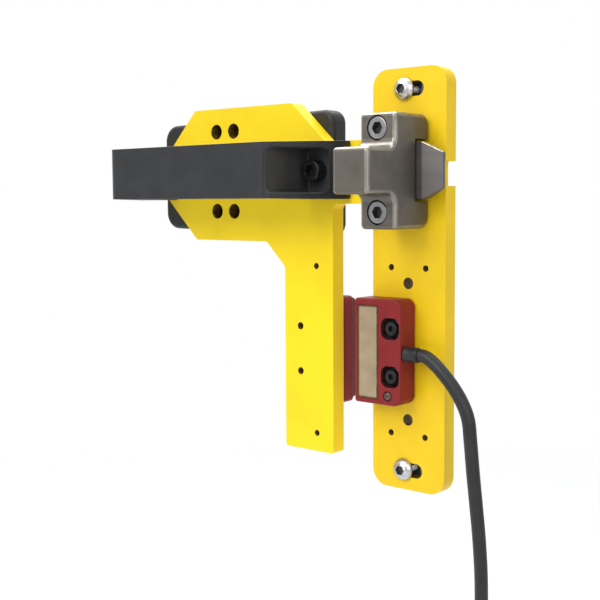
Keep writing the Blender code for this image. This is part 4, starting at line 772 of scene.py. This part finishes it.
def make_actuator():
    """Block behind the leg, its back half set in all round and coloured darker as painted shade."""
    left, right, low, high = LEG_RIGHT - 26, LEG_RIGHT, ACTUATOR_Z - 25.9, ACTUATOR_Z + 25.7
    front, step, back = -11.2, -3.7, -0.3
    block = piece("fine_actuator", prism(box(left, right, low, high, 2), front, step), "red", "red_base_shade")
    soften(block, 0.7, 3)
    base = box(left + 1.2, right - 1.2, low + 1.2, high - 1.2, 2)
    cut(block, prism(base, step - 1, back), 1, operation="UNION")
    for z in (ACTUATOR_Z - ACTUATOR_SCREW, ACTUATOR_Z + ACTUATOR_SCREW):
        drill(block, ACTUATOR_SCREW_X, z, 7.6, -3.3, 1, 0, 32)
        drill(block, ACTUATOR_SCREW_X, z, 4.6, -12, -3, 0, 24)
    soften(block, 0.3, 2, 50, clamp=False)
    settle(block, "bolt", "sensor_red", "actuator")


# Screws, each with a hexagon let into its head
def head_profile(kind, radius, tall):
    """Profile points of a head, from its rim inwards."""
    if kind == "button":
        crown = [(radius * math.cos(a), tall * math.sin(a)) for a in (0.12, 0.3, 0.5, 0.7, 0.9, 1.05)]
        return [(radius, 0)] + crown + [(radius * 0.45, tall), (0, tall)]
    if kind == "flat":
        return [(radius, -0.3), (radius, 0), (0, 0)]
    if kind == "flanged":
        flange = [(radius, 0), (radius, 0.7), (radius - 0.4, 1.0), (radius - 0.9, 1.1)]
        return flange + [(radius - 1.1, tall - 0.4), (radius - 1.5, tall), (0, tall)]
    edge = 0.55
    return [(radius - 0.2, 0), (radius, 0.2)] + arc((radius - edge, tall - edge), edge, 0, 90) + [(0, tall)]


def make_screw(part, body, slot, finish_key, kind, thread, radius, tall, key, deep, back):
    """A socket screw that takes its place and its length from its solid."""
    low, high = (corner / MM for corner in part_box(part))
    x, z = (low.x + high.x) / 2, (low.z + high.z) / 2
    length = high.y - low.y
    shank = length - (0 if kind == "flat" else tall)
    core = thread / 2 - (0.5 if thread > 3.5 else 0.4)
    profile = [(0, -shank), (core - 0.5, -shank), (core, -shank + 0.5)]
    if kind == "flat":
        profile += [(core, -tall)]
    else:
        neck, wide = -min(shank - 1, 8), thread / 2 - 0.05
        profile += [(core, neck), (wide, neck + 0.3), (wide, 0)]
    profile += head_profile(kind, radius, tall)
    top = 0 if kind == "flat" else tall
    seat = low.y + top if not back else high.y - top
    turn = TO_BACK if back else TO_VIEWER
    # Socket walls of plated screws take the darker metal: painted shade
    inside = "oxide" if finish_key == "oxide" else "socket"
    made = piece("fine_" + part, turned(profile, 64), finish_key, inside, at=(x, seat, z), turn=turn)
    socket = prism(ring(0, 0, key / math.cos(math.radians(30)), 6), top - deep, top + 1, "Z")
    cut(made, socket, 1, at=(x, seat, z), turn=turn)
    soften(made, 0.12, 2, 50, clamp=False)
    settle(made, body, slot, part)


# Name, its ends, body, slot, finish, head, thread, head radius, head height, key, socket depth, from behind
UPRIGHT, LEVEL = ("top", "bottom"), ("left", "right")
SCREWS = [
    ("plate_screw_", UPRIGHT, "frame_side", "bright_steel", "bright", "button", 6, 5.25, 3.3, 4, 1.8, False),
    # The keeper screws take the darker copy of the bright steel: painted shade
    ("keeper_screw_", UPRIGHT, "frame_side", "bright_steel", "cap_steel", "cap", 6, 5, 6, 5, 3.3, False),
    ("sensor_screw_", UPRIGHT, "frame_side", "black_oxide", "oxide", "flanged", 4, 4.5, 3, 2.5, 1.8, False),
    ("actuator_screw_", UPRIGHT, "bolt", "zinc", "zinc", "cap", 4, 3.5, 2.4, 2.5, 1.4, True),
    ("handle_screw_", LEVEL, "bolt", "black_oxide", "oxide", "cap", 6, 5, 6, 5, 3.3, False),
    ("carriage_screw_", LEVEL, "bolt", "zinc", "zinc", "flat", 6, 5.7, 3.1, 4, 2.3, False),
    ("tongue_screw_", ("inner", "outer"), "bolt", "zinc", "zinc", "flat", 4, 3.7, 2.1, 2.5, 1.5, False),
]


def make_screws():
    for name, ends, *rest in SCREWS:
        for end in ends:
            make_screw(name + end, *rest)


# Solids that stay as they are, with the finish that each gets
KEPT = {
    "carriage": "acetal", "guide_back_plate": "zinc", "plunger_pin": "bright", "plunger_bush": "zinc",
    "plunger_spring": "zinc", "plate_nut_top": "zinc", "plate_nut_bottom": "zinc", "guide_nut_top": "zinc",
    "guide_nut_bottom": "zinc", "guide_screw_top": "zinc", "guide_screw_bottom": "zinc",
    "back_plate_screw_top": "zinc", "back_plate_screw_bottom": "zinc",
}


def dress_kept_solids():
    for name, key in KEPT.items():
        for spot in nodes[name].material_slots:
            spot.material = FINISH[key]


# Floor, world and lamps, in metres and watts
FLOOR_REACH = 6.0
FLOOR_Z = -0.3055
FADE_START = 0.38
FADE_END = 0.85
FILL_STRENGTH = 0.48


def make_stage():
    floor = bpy.data.meshes.new("floor")
    corners = [(x * FLOOR_REACH, y * FLOOR_REACH, FLOOR_Z) for x, y in ((-1, -1), (1, -1), (1, 1), (-1, 1))]
    floor.from_pydata(corners, [], [(0, 1, 2, 3)])
    slab = bpy.data.objects.new("floor", floor)
    pale = bpy.data.materials.new("pale_floor")
    pale.use_nodes = True
    tree = pale.node_tree
    matt = tree.nodes["Principled BSDF"]
    matt.inputs["Base Color"].default_value = grey(0.8)
    matt.inputs["Roughness"].default_value = 0.9
    # The far floor runs out into the white background, so no horizon shows behind the object
    place = tree.nodes.new("ShaderNodeTexCoord")
    distance = node(tree, "ShaderNodeVectorMath", operation="LENGTH")
    fade = ramp(tree, distance.outputs["Value"], [(FADE_START, grey(0)), (FADE_END, grey(1))])
    rays = tree.nodes.new("ShaderNodeLightPath")
    seen = node(tree, "ShaderNodeMath", operation="MULTIPLY")
    glow = node(tree, "ShaderNodeEmission", Color=grey(1), Strength=1.0)
    mixed = tree.nodes.new("ShaderNodeMixShader")
    wires(
        tree,
        (place.outputs["Object"], distance.inputs[0]), (fade, seen.inputs[0]),
        (rays.outputs["Is Camera Ray"], seen.inputs[1]), (seen.outputs[0], mixed.inputs[0]),
        (matt.outputs[0], mixed.inputs[1]), (glow.outputs[0], mixed.inputs[2]),
        (mixed.outputs[0], tree.nodes["Material Output"].inputs["Surface"]),
    )
    floor.materials.append(pale)
    scene.collection.objects.link(slab)


def make_world():
    world = bpy.data.worlds.new("studio")
    scene.world = world
    world.use_nodes = True
    tree = world.node_tree
    tree.nodes.clear()
    rays = tree.nodes.new("ShaderNodeLightPath")
    seen = node(tree, "ShaderNodeMath", operation="MAXIMUM")
    either = node(tree, "ShaderNodeMath", operation="MAXIMUM")
    fill = tree.nodes.new("ShaderNodeBackground")
    fill.inputs["Color"].default_value = (0.92, 0.95, 1.0, 1)
    fill.inputs["Strength"].default_value = FILL_STRENGTH
    backdrop = tree.nodes.new("ShaderNodeBackground")
    backdrop.inputs["Color"].default_value = (1, 1, 1, 1)
    backdrop.inputs["Strength"].default_value = 1.0
    chosen = tree.nodes.new("ShaderNodeMixShader")
    out = tree.nodes.new("ShaderNodeOutputWorld")
    wires(
        tree,
        (rays.outputs["Is Camera Ray"], seen.inputs[0]), (rays.outputs["Is Glossy Ray"], seen.inputs[1]),
        (seen.outputs[0], either.inputs[0]), (rays.outputs["Is Transmission Ray"], either.inputs[1]),
        (either.outputs[0], chosen.inputs[0]), (fill.outputs[0], chosen.inputs[1]),
        (backdrop.outputs[0], chosen.inputs[2]), (chosen.outputs[0], out.inputs[0]),
    )


def make_lamp(name, place, aim, size, power, colour):
    light = bpy.data.lights.new(name, "AREA")
    light.energy = power
    light.size = size
    light.color = colour
    lamp = bpy.data.objects.new(name, light)
    lamp.location = place
    lamp.rotation_euler = (Vector(aim) - Vector(place)).to_track_quat("-Z", "Y").to_euler()
    scene.collection.objects.link(lamp)


FINISH = make_finishes()
make_camera()
cable, cable_end = make_cable()
make_sleeve()
on_cable = make_plug(cable_end)
make_frame_plate()
make_keeper()
make_sensor()
make_guide()
make_bolt_plate()
make_tongue()
make_handle()
make_actuator()
make_screws()
dress_kept_solids()
make_stage()
make_world()
make_lamp("key", (-0.15, -0.95, 0.60), (-0.07, 0, -0.03), 0.8, 8, (1.0, 0.98, 0.95))
make_lamp("ceiling", (-0.25, 0.15, 0.85), (-0.05, 0, -0.03), 1.1, 13, (1.0, 1.0, 0.98))
make_lamp("side", (0.75, -0.55, 0.25), (0, 0, -0.05), 0.8, 3, (0.98, 0.98, 1.0))
scene.view_settings.view_transform = "Standard"
